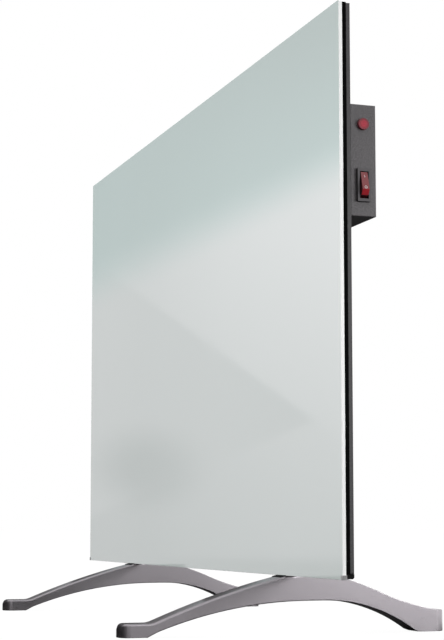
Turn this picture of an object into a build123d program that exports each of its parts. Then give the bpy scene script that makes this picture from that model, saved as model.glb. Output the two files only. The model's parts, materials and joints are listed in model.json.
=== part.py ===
from build123d import *
import math
import os

os.makedirs("parts", exist_ok=True)

# Infrared panel heater standing on two feet, in millimetres.
# +X runs along the panel, +Y to the rear and +Z up. The origin lies on the floor,
# under the middle of the panel's width and in the plane of the glass's front face.

# Glass
panel_width = 1000.0
panel_height = 600.0
glass_thickness = 4.0
glass_corner = 2.0
glass_arris = 0.4

# Seal and tray behind the glass
seal_inset = 1.5
seal_depth = 4.95
seal_width = 12.0
tray_inset = 2.0
tray_top_drop = 1.9
tray_depth = 4.7
tray_sheet = 0.8
tray_lip = 9.0
tray_edge_round = 0.7
strip_height = 5.0
strip_drop = 0.7
strip_round = 2.5

# Clips on the lower corners of the glass
clip_sheet = 0.6
clip_front = 4.0
clip_height = 4.7

# Heating layers
layer_margin = 1.0
film_thickness = 0.4
busbar_thickness = 0.4
busbar_width = 7.0
busbar_edge = 4.0
foil_thickness = 0.2
nut_relief = 1.5

# Feet
right_foot_inset = 169.4
left_foot_inset = 236.3
foot_mid_y = 3.1
foot_length = 381.0
foot_thickness = 28.0
foot_height = 63.6
foot_end_round = 12.0
front_sole_length = 29.9
rear_sole_length = 34.0
front_heel_run = 11.5
front_heel_rise = 5.6
rear_heel_run = 6.0
rear_heel_rise = 2.1
front_toe_height = 15.0
front_toe_length = 36.0
front_toe_round = 8.0
rear_toe_height = 24.4
rear_toe_length = 13.0
rear_toe_round = 5.0
arch_crown_front = 26.0
arch_crown_rear = 45.0
seat_thickness = 27.1
seat_overhang = 1.0
seat_rear_margin = 3.8
rear_bend_run = 48.6
rear_bend_drop = 16.1
front_arm_bow = 975.0
rear_arm_bow = 410.0
rear_toe_bow = 313.0
seat_front_round = 12.0
seat_rear_round = 40.0
toe_blend = 24.0
heel_blend = 10.0

# Pads on and under the feet
floor_pad_radius = 9.0
floor_pad_thickness = 2.0
floor_pad_proud = 0.3
saddle_thickness = 0.4
saddle_lip_reach = 6.5
saddle_lip_base = 0.6
saddle_lip_rise = 0.5
saddle_side_gap = 1.0

# Brackets between feet and tray
bracket_sheet = 2.0
bracket_width = 24.0
bracket_height = 52.0
bracket_reach = 41.0
bracket_bend = 2.0
foot_screw_pitch = 18.0
foot_screw_edge = 9.0
foot_screw_radius = 2.5
foot_screw_length = 14.0
panel_screw_pitch = 20.0
panel_screw_edge = 12.0
panel_screw_radius = 2.0
panel_screw_length = 6.0
nut_radius = 4.0
nut_thickness = 3.0
screw_head_ratio = 1.8
screw_head_height = 0.9
drive_ratio = 0.5
screw_clearance = 0.05
hole_clearance = 0.25

# Control box
box_length = 180.0
box_height = 117.9
box_depth = 28.2
control_set = 13.5
box_top_drop = 109.3
box_sheet = 1.0
box_edge_round = 1.0
plate_sheet = 1.0
plate_clearance = 0.3
rivet_radius = 1.6
rivet_head_radius = 3.2
rivet_head_height = 1.0
rivet_tail_radius = 2.4
rivet_inset = 18.0
pillar_inset = 8.0
pillar_flats = 5.0
pillar_bore_depth = 9.0
cover_screw_radius = 1.5
cover_screw_length = 7.0

# Indicator lamp on the box's end wall
lamp_drop = 21.0
lamp_lens_radius = 6.2
lamp_lens_proud = 3.0
lamp_lens_round = 0.7
lamp_body_radius = 5.0
lamp_body_length = 22.0
lamp_socket_radius = 4.0
lamp_socket_depth = 7.0
lamp_clip_radius = 7.0
lamp_clip_thickness = 1.4

# Rocker switch on the box's end wall
switch_rise = 32.6
bezel_width = 15.0
bezel_height = 35.0
bezel_proud = 3.0
bezel_round = 1.0
switch_body_width = 12.4
switch_body_height = 30.2
switch_body_depth = 26.0
switch_window_width = 9.6
switch_window_height = 28.3
switch_floor_thickness = 6.0
rocker_side_gap = 0.8
rocker_end_gap = 0.3
rocker_pivot_depth = 4.0
rocker_face_reach = 10.0
rocker_face_half = 8.5
rocker_press_half = 11.3
rocker_end_reach = 5.4
rocker_back = 3.0
rocker_tilt = 16.0
rocker_edge_round = 0.7
pivot_pin_radius = 1.2
pivot_pin_grip = 0.5
barrel_radius = 2.5
barrel_length = 4.0
plunger_radius = 1.3
plunger_gap = 0.1
plunger_reach = 10.4
plunger_length = 5.9
spring_length = 9.0
spring_wire = 0.4
spring_turns = 7.0
seesaw_gap = 0.3
seesaw_thickness = 0.6
seesaw_half = 8.2
seesaw_width = 5.0
seesaw_tilt = 8.0
contact_radius = 1.2
contact_height = 0.5
contact_pitch = 7.0
blade_thickness = 0.8
blade_width = 4.8
blade_length = 9.0

# Lead-through between tray and box
port_inset = 58.0
port_width = 12.0
port_height = 30.0
grommet_flange = 1.5
grommet_flange_thickness = 1.0
grommet_wall = 1.5

# Terminal block
block_inset = 42.0
block_drop = 10.6
block_length = 22.0
block_depth = 16.0
pole_pitch = 12.0
pole_count = 3
pole_bore_radius = 2.2
pole_screw_radius = 1.8
pole_screw_offset = 6.0
pole_screw_sink = 1.0

# Overheat cut-out
cutout_inset = 87.0
cutout_drop = 29.0
cutout_radius = 8.0
cutout_height = 9.0
cutout_ear_pitch = 24.0
cutout_ear_width = 7.0
cutout_ear_thickness = 0.8
cutout_blade_height = 6.0
cutout_blade_pitch = 8.0

# Earth stud
earth_inset = 20.0
earth_drop = 33.0
earth_radius = 2.0
earth_length = 12.0
earth_nut_flats = 7.0
earth_nut_thickness = 3.2

# Lead entry under the box
gland_thread_radius = 6.0
gland_thread_length = 7.5
gland_flats = 16.0
gland_hex_height = 4.5
gland_bore_radius = 4.3
gland_nut_thickness = 3.0
dome_radius = 7.8
dome_height = 9.0
dome_mouth_radius = 4.3
gland_seal_radius = 6.0
gland_seal_bore = 3.7
gland_seal_height = 6.0

# Wires inside the box
wire_radius = 1.1
wire_bend = 3.5
feed_run = 29.0
feed_rise_run = 30.0
switch_run = 15.0
wire_rise = 6.8
block_turn = 6.0
lamp_far_run = 10.5
lamp_lead_offset = 1.6

# Places that follow from the sizes above
tray_front_y = glass_thickness + seal_depth
tray_back_y = tray_front_y + tray_depth
glass_base_z = foot_height + saddle_thickness
glass_top_z = glass_base_z + panel_height
glass_mid_z = (glass_base_z + glass_top_z) / 2
strip_base_z = glass_base_z + strip_drop
tray_base_z = strip_base_z + strip_height
tray_top_z = glass_top_z - tray_top_drop
tray_mid_z = (tray_base_z + tray_top_z) / 2
tray_height = tray_top_z - tray_base_z
tray_width = panel_width - 2 * tray_inset
seal_top_z = glass_top_z - seal_inset
seal_height = seal_top_z - tray_base_z
seal_mid_z = (seal_top_z + tray_base_z) / 2
seal_length = panel_width - 2 * seal_inset
layer_width = seal_length - 2 * (seal_width + layer_margin)
layer_height = seal_height - 2 * (seal_width + layer_margin)
film_back_y = glass_thickness + film_thickness
busbar_back_y = film_back_y + busbar_thickness
foil_back_y = busbar_back_y + foil_thickness
tray_floor_y = tray_back_y - tray_sheet

seat_front_y = -seat_overhang
saddle_front_y = -saddle_lip_reach
foot_places = {"right": panel_width / 2 - right_foot_inset, "left": left_foot_inset - panel_width / 2}
foot_front_y = foot_mid_y - foot_length / 2
foot_rear_y = foot_mid_y + foot_length / 2
front_sole_y = foot_front_y + front_sole_length / 2
rear_sole_y = foot_rear_y - rear_sole_length / 2
bracket_rear_y = tray_back_y + bracket_reach
seat_rear_y = bracket_rear_y + seat_rear_margin
bracket_top_z = foot_height + bracket_height
foot_screw_ys = [bracket_rear_y - foot_screw_edge - step * foot_screw_pitch for step in range(2)]
panel_screw_zs = [bracket_top_z - panel_screw_edge - step * panel_screw_pitch for step in range(2)]

box_end_x = panel_width / 2 - tray_inset
box_start_x = box_end_x - box_length
box_mid_x = (box_start_x + box_end_x) / 2
box_top_z = glass_top_z - box_top_drop
box_base_z = box_top_z - box_height
box_mid_z = (box_base_z + box_top_z) / 2
box_back_y = tray_back_y + box_depth
control_y = tray_back_y + control_set
lamp_z = box_top_z - lamp_drop
switch_z = box_base_z + switch_rise
plate_back_y = tray_back_y + plate_sheet
cover_inside_y = box_back_y - box_sheet
cover_inside_x = box_end_x - box_sheet
plate_length = box_length - 2 * (box_sheet + plate_clearance)
plate_height = box_height - 2 * (box_sheet + plate_clearance)

rivet_xs = (box_start_x + rivet_inset, box_end_x - rivet_inset)
rivet_zs = (box_base_z + rivet_inset, box_top_z - rivet_inset)
rivet_spots = [(x, z) for x in rivet_xs for z in rivet_zs]
pillar_xs = (box_start_x + pillar_inset, box_end_x - pillar_inset)
pillar_zs = (box_base_z + pillar_inset, box_top_z - pillar_inset)
pillar_spots = [(x, z) for x in pillar_xs for z in pillar_zs]
panel_screw_spots = [(x, z) for x in foot_places.values() for z in panel_screw_zs]

pivot_x = box_end_x - rocker_pivot_depth
bezel_face_x = box_end_x + bezel_proud
switch_back_x = box_end_x - switch_body_depth
switch_floor_x = switch_back_x + switch_floor_thickness
rocker_width = switch_window_width - 2 * rocker_side_gap
pivot_pin_length = rocker_side_gap + pivot_pin_grip
skirt_radius = switch_window_height / 2 - rocker_end_gap
plunger_tip_x = pivot_x - plunger_reach
plunger_top_x = plunger_tip_x + plunger_length
fulcrum_radius = blade_thickness / 2
seesaw_reach = fulcrum_radius + seesaw_gap
fulcrum_x = plunger_tip_x - seesaw_gap - seesaw_thickness - seesaw_reach
contact_drop = contact_pitch * math.sin(math.radians(seesaw_tilt))
contact_top_x = fulcrum_x + fulcrum_radius - contact_drop - contact_height
blade_end_x = switch_back_x - blade_length

block_x = box_start_x + block_inset
block_z = box_mid_z - block_drop
gland_x = block_x
block_height = pole_pitch * pole_count
pole_zs = [block_z + (step - (pole_count - 1) / 2) * pole_pitch for step in range(pole_count)]
block_end_x = block_x + block_length / 2
block_start_x = block_x - block_length / 2
block_back_y = plate_back_y + block_depth
pole_bore_y = plate_back_y + block_depth / 2
heater_zs = pole_zs[1:]
port_x = box_end_x - port_inset
port_z = sum(heater_zs) / len(heater_zs)
cutout_x = box_start_x + cutout_inset
cutout_z = box_top_z - cutout_drop
earth_x = box_start_x + earth_inset
earth_z = box_top_z - earth_drop
cutout_ears = [cutout_x - cutout_ear_pitch / 2, cutout_x + cutout_ear_pitch / 2]


# Planes: one faces the front at a depth, one faces the right-hand end at an X
def front_view(depth):
    return Plane(origin=(0, depth, 0), x_dir=(1, 0, 0), z_dir=(0, -1, 0))


def end_view(distance):
    return Plane(origin=(distance, 0, 0), x_dir=(0, 1, 0), z_dir=(1, 0, 0))


def save(builder, name):
    builder.part.label = name
    export_step(builder.part, f"parts/{name}.step")


# Glass front, with ground edges
with BuildPart() as glass_panel:
    with BuildSketch(front_view(glass_thickness)):
        with Locations((0, glass_mid_z)):
            RectangleRounded(panel_width, panel_height, glass_corner)
    extrude(amount=glass_thickness)
    front_edges = glass_panel.faces().sort_by(Axis.Y)[0].edges()
    back_edges = glass_panel.faces().sort_by(Axis.Y)[-1].edges()
    chamfer(front_edges + back_edges, glass_arris)
save(glass_panel, "glass_panel")

# Heating film on the back of the glass
with BuildPart() as heating_film:
    with BuildSketch(front_view(film_back_y)):
        with Locations((0, seal_mid_z)):
            Rectangle(layer_width, layer_height)
    extrude(amount=film_thickness)
save(heating_film, "heating_film")

# Two copper strips feed the film, one along its top and one along its bottom
film_top_z = seal_mid_z + layer_height / 2 - busbar_edge
film_bottom_z = seal_mid_z - layer_height / 2 + busbar_edge
busbar_end_x = layer_width / 2 - busbar_edge
with BuildPart() as busbars:
    with BuildSketch(front_view(busbar_back_y)):
        for outer_z, inner_z in ((film_bottom_z, heater_zs[0]), (film_top_z, heater_zs[1])):
            tail_centre = (outer_z + inner_z) / 2
            inwards = math.copysign(busbar_width / 2, inner_z - outer_z)
            with Locations((0, outer_z + inwards)):
                Rectangle(2 * busbar_end_x, busbar_width)
            with Locations((busbar_end_x - busbar_width / 2, tail_centre)):
                Rectangle(busbar_width, abs(inner_z - outer_z) + busbar_width)
            with Locations(((port_x + busbar_end_x) / 2, inner_z)):
                Rectangle(busbar_end_x - port_x + busbar_width, busbar_width)
    extrude(amount=busbar_thickness)
save(busbars, "busbars")

# Reflector foil, open where the leads pass
with BuildPart() as reflector_foil:
    with BuildSketch(front_view(foil_back_y)):
        with Locations((0, seal_mid_z)):
            Rectangle(layer_width, layer_height)
        with Locations((port_x, port_z)):
            SlotOverall(port_height, port_width, rotation=90, mode=Mode.SUBTRACT)
    extrude(amount=foil_thickness)
save(reflector_foil, "reflector_foil")

# Insulation board, relieved around nuts, rivets and the lead port
with BuildPart() as insulation_board:
    with BuildSketch(front_view(tray_floor_y)):
        with Locations((0, seal_mid_z)):
            Rectangle(layer_width, layer_height)
    extrude(amount=tray_floor_y - foil_back_y)
    with BuildSketch(front_view(tray_floor_y)):
        with Locations((port_x, port_z)):
            SlotOverall(port_height + 4 * grommet_flange, port_width + 4 * grommet_flange, rotation=90)
    extrude(amount=tray_floor_y - foil_back_y, mode=Mode.SUBTRACT)
    with BuildSketch(front_view(tray_floor_y)):
        with Locations(*panel_screw_spots):
            Circle(nut_radius + nut_relief)
        with Locations(*rivet_spots):
            Circle(rivet_tail_radius + nut_relief)
    extrude(amount=nut_thickness + nut_relief, mode=Mode.SUBTRACT)
save(insulation_board, "insulation_board")

# Seal all round, between glass and tray
with BuildPart() as perimeter_seal:
    with BuildSketch(front_view(tray_front_y)):
        with Locations((0, seal_mid_z)):
            Rectangle(seal_length, seal_height)
            Rectangle(seal_length - 2 * seal_width, seal_height - 2 * seal_width, mode=Mode.SUBTRACT)
    extrude(amount=seal_depth)
save(perimeter_seal, "perimeter_seal")

# Folded steel tray with an inward lip
with BuildPart() as back_tray:
    with BuildSketch(front_view(tray_back_y)):
        with Locations((0, tray_mid_z)):
            Rectangle(tray_width, tray_height)
    extrude(amount=tray_depth)
    fillet(back_tray.faces().sort_by(Axis.Y)[-1].edges(), tray_edge_round)
    with BuildSketch(front_view(tray_floor_y)):
        with Locations((0, tray_mid_z)):
            Rectangle(tray_width - 2 * tray_sheet, tray_height - 2 * tray_sheet)
    extrude(amount=tray_depth - 2 * tray_sheet, mode=Mode.SUBTRACT)
    with BuildSketch(front_view(tray_front_y + tray_sheet)):
        with Locations((0, tray_mid_z)):
            Rectangle(tray_width - 2 * tray_lip, tray_height - 2 * tray_lip)
    extrude(amount=tray_sheet, mode=Mode.SUBTRACT)
    with BuildSketch(front_view(tray_back_y)):
        with Locations(*panel_screw_spots):
            Circle(panel_screw_radius + hole_clearance)
        with Locations(*rivet_spots):
            Circle(rivet_radius + screw_clearance)
        with Locations((port_x, port_z)):
            SlotOverall(port_height, port_width, rotation=90)
    extrude(amount=tray_sheet, mode=Mode.SUBTRACT)
save(back_tray, "back_tray")

# Black strip closing the lower edge of seal and tray
with BuildPart() as bottom_strip:
    with BuildSketch(end_view(-tray_width / 2)):
        with Locations((glass_thickness, strip_base_z)):
            Rectangle(tray_back_y - glass_thickness, strip_height, align=(Align.MIN, Align.MIN))
    extrude(amount=tray_width)
    lower_edges = bottom_strip.edges().filter_by(Axis.X).group_by(Axis.Z)[0]
    fillet(lower_edges.sort_by(Axis.Y)[-1], strip_round)
save(bottom_strip, "bottom_strip")

# A clip round each lower corner of the glass
with BuildPart() as edge_clips:
    with BuildSketch(Plane.XY.offset(glass_base_z)):
        for side in (1, -1):
            edge_x = side * panel_width / 2
            with Locations((edge_x + side * clip_sheet / 2, glass_thickness / 2)):
                Rectangle(clip_sheet, glass_thickness + 2 * clip_sheet)
            with Locations((edge_x - side * clip_front / 2, -clip_sheet / 2)):
                Rectangle(clip_front, clip_sheet)
            with Locations((edge_x - side * tray_inset / 2, glass_thickness + clip_sheet / 2)):
                Rectangle(tray_inset, clip_sheet)
    extrude(amount=clip_height)
save(edge_clips, "edge_clips")

# Weld nuts inside the tray for the brackets
with BuildPart() as weld_nuts:
    with BuildSketch(front_view(tray_floor_y)):
        with Locations(*panel_screw_spots):
            Circle(nut_radius)
            Circle(panel_screw_radius + screw_clearance, mode=Mode.SUBTRACT)
    extrude(amount=nut_thickness)
save(weld_nuts, "weld_nuts")

# Cast feet: one arched outline of even thickness, rounded in plan at both ends
sole_z = floor_pad_proud
toe_front = (foot_front_y, front_toe_height)
toe_front_end = (foot_front_y + front_toe_length, front_toe_height)
toe_rear = (foot_rear_y, rear_toe_height)
toe_rear_end = (foot_rear_y - rear_toe_length, rear_toe_height)
seat_front = (seat_front_y, foot_height)
seat_rear = (seat_rear_y, foot_height)
crown_z = foot_height - seat_thickness
crown_front = (arch_crown_front, crown_z)
crown_rear = (arch_crown_rear, crown_z)
rear_bend = (seat_rear_y + rear_bend_run, foot_height - rear_bend_drop)
heel_front = (foot_front_y + front_sole_length, sole_z)
heel_front_end = (heel_front[0] + front_heel_run, sole_z + front_heel_rise)
heel_rear = (foot_rear_y - rear_sole_length, sole_z)
heel_rear_end = (heel_rear[0] - rear_heel_run, sole_z + rear_heel_rise)
outline_rounds = (
    (toe_front, front_toe_round),
    (toe_front_end, toe_blend),
    (toe_rear, rear_toe_round),
    (toe_rear_end, toe_blend),
    (seat_front, seat_front_round),
    (seat_rear, seat_rear_round),
    (heel_front_end, heel_blend),
)

feet = []
for side_name, foot_x in foot_places.items():
    with BuildPart() as foot:
        with BuildSketch(end_view(foot_x - foot_thickness / 2)) as outline:
            with BuildLine():
                Polyline(toe_front_end, toe_front, (foot_front_y, sole_z), heel_front, heel_front_end)
                TangentArc(crown_front, heel_front_end, tangent=(-1, 0))
                Line(crown_front, crown_rear)
                TangentArc(crown_rear, heel_rear_end, tangent=(1, 0))
                Polyline(heel_rear_end, heel_rear, (foot_rear_y, sole_z), toe_rear, toe_rear_end)
                RadiusArc(toe_rear_end, rear_bend, rear_toe_bow)
                RadiusArc(rear_bend, seat_rear, -rear_arm_bow)
                Line(seat_rear, seat_front)
                RadiusArc(seat_front, toe_front_end, -front_arm_bow)
            make_face()
            for corner, radius in outline_rounds:
                fillet(outline.vertices().sort_by_distance(corner)[0], radius)
        extrude(amount=foot_thickness)
        with BuildSketch(Plane.XY):
            with Locations((foot_x, foot_mid_y)):
                RectangleRounded(foot_thickness, foot_length, foot_end_round)
        extrude(amount=foot_height, mode=Mode.INTERSECT)
        with BuildSketch(Plane.XY.offset(foot_height)):
            with Locations(*[(foot_x, y) for y in foot_screw_ys]):
                Circle(foot_screw_radius + screw_clearance)
        extrude(amount=-foot_screw_length, mode=Mode.SUBTRACT)
        with BuildSketch(Plane.XY):
            with Locations((foot_x, front_sole_y), (foot_x, rear_sole_y)):
                Circle(floor_pad_radius + screw_clearance)
        extrude(amount=floor_pad_thickness, mode=Mode.SUBTRACT)
    save(foot, f"foot_{side_name}")
    feet.append(foot.part)

# Rubber pads under the feet
with BuildPart() as floor_pads:
    with BuildSketch(Plane.XY):
        with Locations(*[(x, y) for x in foot_places.values() for y in (front_sole_y, rear_sole_y)]):
            Circle(floor_pad_radius)
    extrude(amount=floor_pad_thickness)
save(floor_pads, "floor_pads")

# Rubber saddles between the feet and the panel, each with a lip down the arm before the glass
saddle_width = foot_thickness - 2 * saddle_side_gap
with BuildPart() as saddle_pads:
    for foot_x in foot_places.values():
        with BuildSketch(end_view(foot_x - saddle_width / 2)):
            with BuildLine():
                Polyline(
                    (saddle_front_y, crown_z),
                    (saddle_front_y, foot_height - saddle_lip_base),
                    (0, glass_base_z + saddle_lip_rise),
                    (0, glass_base_z),
                    (tray_back_y, glass_base_z),
                    (tray_back_y, crown_z),
                    close=True,
                )
            make_face()
        extrude(amount=saddle_width)
    add(feet, mode=Mode.SUBTRACT)
save(saddle_pads, "saddle_pads")

# Angle brackets that tie each foot to the tray
for side_name, foot_x in foot_places.items():
    with BuildPart() as bracket:
        with BuildSketch(end_view(foot_x - bracket_width / 2)):
            with Locations((tray_back_y, foot_height)):
                Rectangle(bracket_sheet, bracket_height, align=(Align.MIN, Align.MIN))
                Rectangle(bracket_reach, bracket_sheet, align=(Align.MIN, Align.MIN))
        extrude(amount=bracket_width)
        bends = bracket.edges().filter_by(Axis.X)
        inner_bend = (foot_x, tray_back_y + bracket_sheet, foot_height + bracket_sheet)
        fillet(bends.sort_by_distance(inner_bend)[0], bracket_bend)
        outer_bend = (foot_x, tray_back_y, foot_height)
        fillet(bracket.edges().filter_by(Axis.X).sort_by_distance(outer_bend)[0], bracket_sheet)
        with BuildSketch(Plane.XY.offset(foot_height)):
            with Locations(*[(foot_x, y) for y in foot_screw_ys]):
                Circle(foot_screw_radius + hole_clearance)
        extrude(amount=bracket_sheet, mode=Mode.SUBTRACT)
        with BuildSketch(front_view(tray_back_y + bracket_sheet)):
            with Locations(*[(foot_x, z) for z in panel_screw_zs]):
                Circle(panel_screw_radius + hole_clearance)
        extrude(amount=bracket_sheet, mode=Mode.SUBTRACT)
    save(bracket, f"foot_bracket_{side_name}")

# Screws down into the feet
foot_screw_spots = [(x, y) for x in foot_places.values() for y in foot_screw_ys]
foot_screw_seat = foot_height + bracket_sheet
with BuildPart() as bracket_foot_screws:
    with BuildSketch(Plane.XY.offset(foot_screw_seat)):
        with Locations(*foot_screw_spots):
            Circle(foot_screw_radius)
    extrude(amount=-foot_screw_length)
    with BuildSketch(Plane.XY.offset(foot_screw_seat)):
        with Locations(*foot_screw_spots):
            Circle(foot_screw_radius * screw_head_ratio)
    extrude(amount=foot_screw_radius * screw_head_height)
    with BuildSketch(Plane.XY.offset(foot_screw_seat + foot_screw_radius * screw_head_height)):
        with Locations(*foot_screw_spots):
            RegularPolygon(foot_screw_radius * drive_ratio, 6)
    extrude(amount=-foot_screw_radius * drive_ratio, mode=Mode.SUBTRACT)
save(bracket_foot_screws, "bracket_foot_screws")

# Screws forward into the tray's weld nuts
panel_screw_seat = tray_back_y + bracket_sheet
with BuildPart() as bracket_panel_screws:
    with BuildSketch(front_view(panel_screw_seat)):
        with Locations(*panel_screw_spots):
            Circle(panel_screw_radius)
    extrude(amount=panel_screw_length)
    with BuildSketch(front_view(panel_screw_seat)):
        with Locations(*panel_screw_spots):
            Circle(panel_screw_radius * screw_head_ratio)
    extrude(amount=-panel_screw_radius * screw_head_height)
    with BuildSketch(front_view(panel_screw_seat + panel_screw_radius * screw_head_height)):
        with Locations(*panel_screw_spots):
            RegularPolygon(panel_screw_radius * drive_ratio, 6)
    extrude(amount=panel_screw_radius * drive_ratio, mode=Mode.SUBTRACT)
save(bracket_panel_screws, "bracket_panel_screws")

# Base plate of the control box
with BuildPart() as box_base_plate:
    with BuildSketch(front_view(plate_back_y)):
        with Locations((box_mid_x, box_mid_z)):
            Rectangle(plate_length, plate_height)
        with Locations((port_x, port_z)):
            SlotOverall(port_height, port_width, rotation=90, mode=Mode.SUBTRACT)
        with Locations(*rivet_spots):
            Circle(rivet_radius + screw_clearance, mode=Mode.SUBTRACT)
    extrude(amount=plate_sheet)
save(box_base_plate, "box_base_plate")

# Blind rivets through plate and tray
rivet_grip = plate_sheet + tray_sheet
with BuildPart() as base_rivets:
    with BuildSketch(front_view(plate_back_y)):
        with Locations(*rivet_spots):
            Circle(rivet_radius)
    extrude(amount=rivet_grip + rivet_head_height)
    with BuildSketch(front_view(plate_back_y)):
        with Locations(*rivet_spots):
            Circle(rivet_head_radius)
    extrude(amount=-rivet_head_height)
    with BuildSketch(front_view(tray_floor_y)):
        with Locations(*rivet_spots):
            Circle(rivet_tail_radius)
    extrude(amount=rivet_tail_radius)
save(base_rivets, "base_rivets")

# Hexagon pillars that carry the cover
with BuildPart() as box_pillars:
    with BuildSketch(front_view(cover_inside_y)):
        with Locations(*pillar_spots):
            RegularPolygon(pillar_flats / 2, 6, major_radius=False)
    extrude(amount=cover_inside_y - plate_back_y)
    with BuildSketch(front_view(cover_inside_y)):
        with Locations(*pillar_spots):
            Circle(cover_screw_radius + screw_clearance)
    extrude(amount=pillar_bore_depth, mode=Mode.SUBTRACT)
save(box_pillars, "box_pillars")

# Folded cover with cut-outs for lamp, switch, lead entry and screws
with BuildPart() as box_cover:
    with BuildSketch(front_view(box_back_y)):
        with Locations((box_mid_x, box_mid_z)):
            Rectangle(box_length, box_height)
    extrude(amount=box_depth)
    fillet(box_cover.faces().sort_by(Axis.Y)[-1].edges(), box_edge_round)
    with BuildSketch(front_view(cover_inside_y)):
        with Locations((box_mid_x, box_mid_z)):
            Rectangle(box_length - 2 * box_sheet, box_height - 2 * box_sheet)
    extrude(amount=box_depth - box_sheet, mode=Mode.SUBTRACT)
    with BuildSketch(end_view(cover_inside_x)):
        with Locations((control_y, lamp_z)):
            Circle(lamp_body_radius + screw_clearance)
        with Locations((control_y, switch_z)):
            Rectangle(switch_body_width + hole_clearance, switch_body_height + hole_clearance)
    extrude(amount=box_sheet, mode=Mode.SUBTRACT)
    with BuildSketch(Plane.XY.offset(box_base_z)):
        with Locations((gland_x, control_y)):
            Circle(gland_thread_radius + hole_clearance)
    extrude(amount=box_sheet, mode=Mode.SUBTRACT)
    with BuildSketch(front_view(box_back_y)):
        with Locations(*pillar_spots):
            Circle(cover_screw_radius + hole_clearance)
    extrude(amount=box_sheet, mode=Mode.SUBTRACT)
save(box_cover, "box_cover")

# Screws that hold the cover
with BuildPart() as cover_screws:
    with BuildSketch(front_view(box_back_y)):
        with Locations(*pillar_spots):
            Circle(cover_screw_radius)
    extrude(amount=cover_screw_length)
    with BuildSketch(front_view(box_back_y)):
        with Locations(*pillar_spots):
            Circle(cover_screw_radius * screw_head_ratio)
    extrude(amount=-cover_screw_radius * screw_head_height)
    with BuildSketch(front_view(box_back_y + cover_screw_radius * screw_head_height)):
        with Locations(*pillar_spots):
            RegularPolygon(cover_screw_radius * drive_ratio, 6)
    extrude(amount=cover_screw_radius * drive_ratio, mode=Mode.SUBTRACT)
save(cover_screws, "cover_screws")

# Indicator lamp: lens, body and the ring that holds it behind the wall
lamp_body_x = box_end_x - lamp_body_length
with BuildPart() as lamp_lens:
    with BuildSketch(end_view(box_end_x)):
        with Locations((control_y, lamp_z)):
            Circle(lamp_lens_radius)
    extrude(amount=lamp_lens_proud)
    fillet(lamp_lens.faces().sort_by(Axis.X)[-1].edges(), lamp_lens_round)
    with BuildSketch(end_view(box_end_x)):
        with Locations((control_y, lamp_z)):
            Circle(lamp_socket_radius - screw_clearance)
    extrude(amount=-lamp_socket_depth)
save(lamp_lens, "lamp_lens")

with BuildPart() as lamp_body:
    with BuildSketch(end_view(lamp_body_x)):
        with Locations((control_y, lamp_z)):
            Circle(lamp_body_radius)
    extrude(amount=lamp_body_length)
    with BuildSketch(end_view(box_end_x)):
        with Locations((control_y, lamp_z)):
            Circle(lamp_socket_radius)
    extrude(amount=-lamp_socket_depth, mode=Mode.SUBTRACT)
save(lamp_body, "lamp_body")

with BuildPart() as lamp_clip:
    with BuildSketch(end_view(cover_inside_x)):
        with Locations((control_y, lamp_z)):
            Circle(lamp_clip_radius)
            Circle(lamp_body_radius + screw_clearance, mode=Mode.SUBTRACT)
    extrude(amount=-lamp_clip_thickness)
save(lamp_clip, "lamp_clip")

# Switch housing: bezel outside, open body behind, slots for three blades
blade_zs = [switch_z + step * contact_pitch for step in (-1, 0, 1)]
with BuildPart() as switch_housing:
    with BuildSketch(end_view(box_end_x)):
        with Locations((control_y, switch_z)):
            RectangleRounded(bezel_width, bezel_height, bezel_round)
    extrude(amount=bezel_proud)
    with BuildSketch(end_view(switch_back_x)):
        with Locations((control_y, switch_z)):
            Rectangle(switch_body_width, switch_body_height)
    extrude(amount=switch_body_depth)
    with BuildSketch(end_view(switch_floor_x)):
        with Locations((control_y, switch_z)):
            Rectangle(switch_window_width, switch_window_height)
    extrude(amount=bezel_face_x - switch_floor_x, mode=Mode.SUBTRACT)
    with BuildSketch(front_view(control_y + switch_body_width / 2)):
        with Locations((pivot_x, switch_z)):
            Circle(pivot_pin_radius + screw_clearance)
    extrude(amount=switch_body_width, mode=Mode.SUBTRACT)
    with BuildSketch(end_view(switch_back_x)):
        with Locations(*[(control_y, z) for z in blade_zs]):
            Rectangle(blade_width + screw_clearance, blade_thickness + screw_clearance)
    extrude(amount=switch_floor_thickness, mode=Mode.SUBTRACT)
save(switch_housing, "switch_housing")

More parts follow.
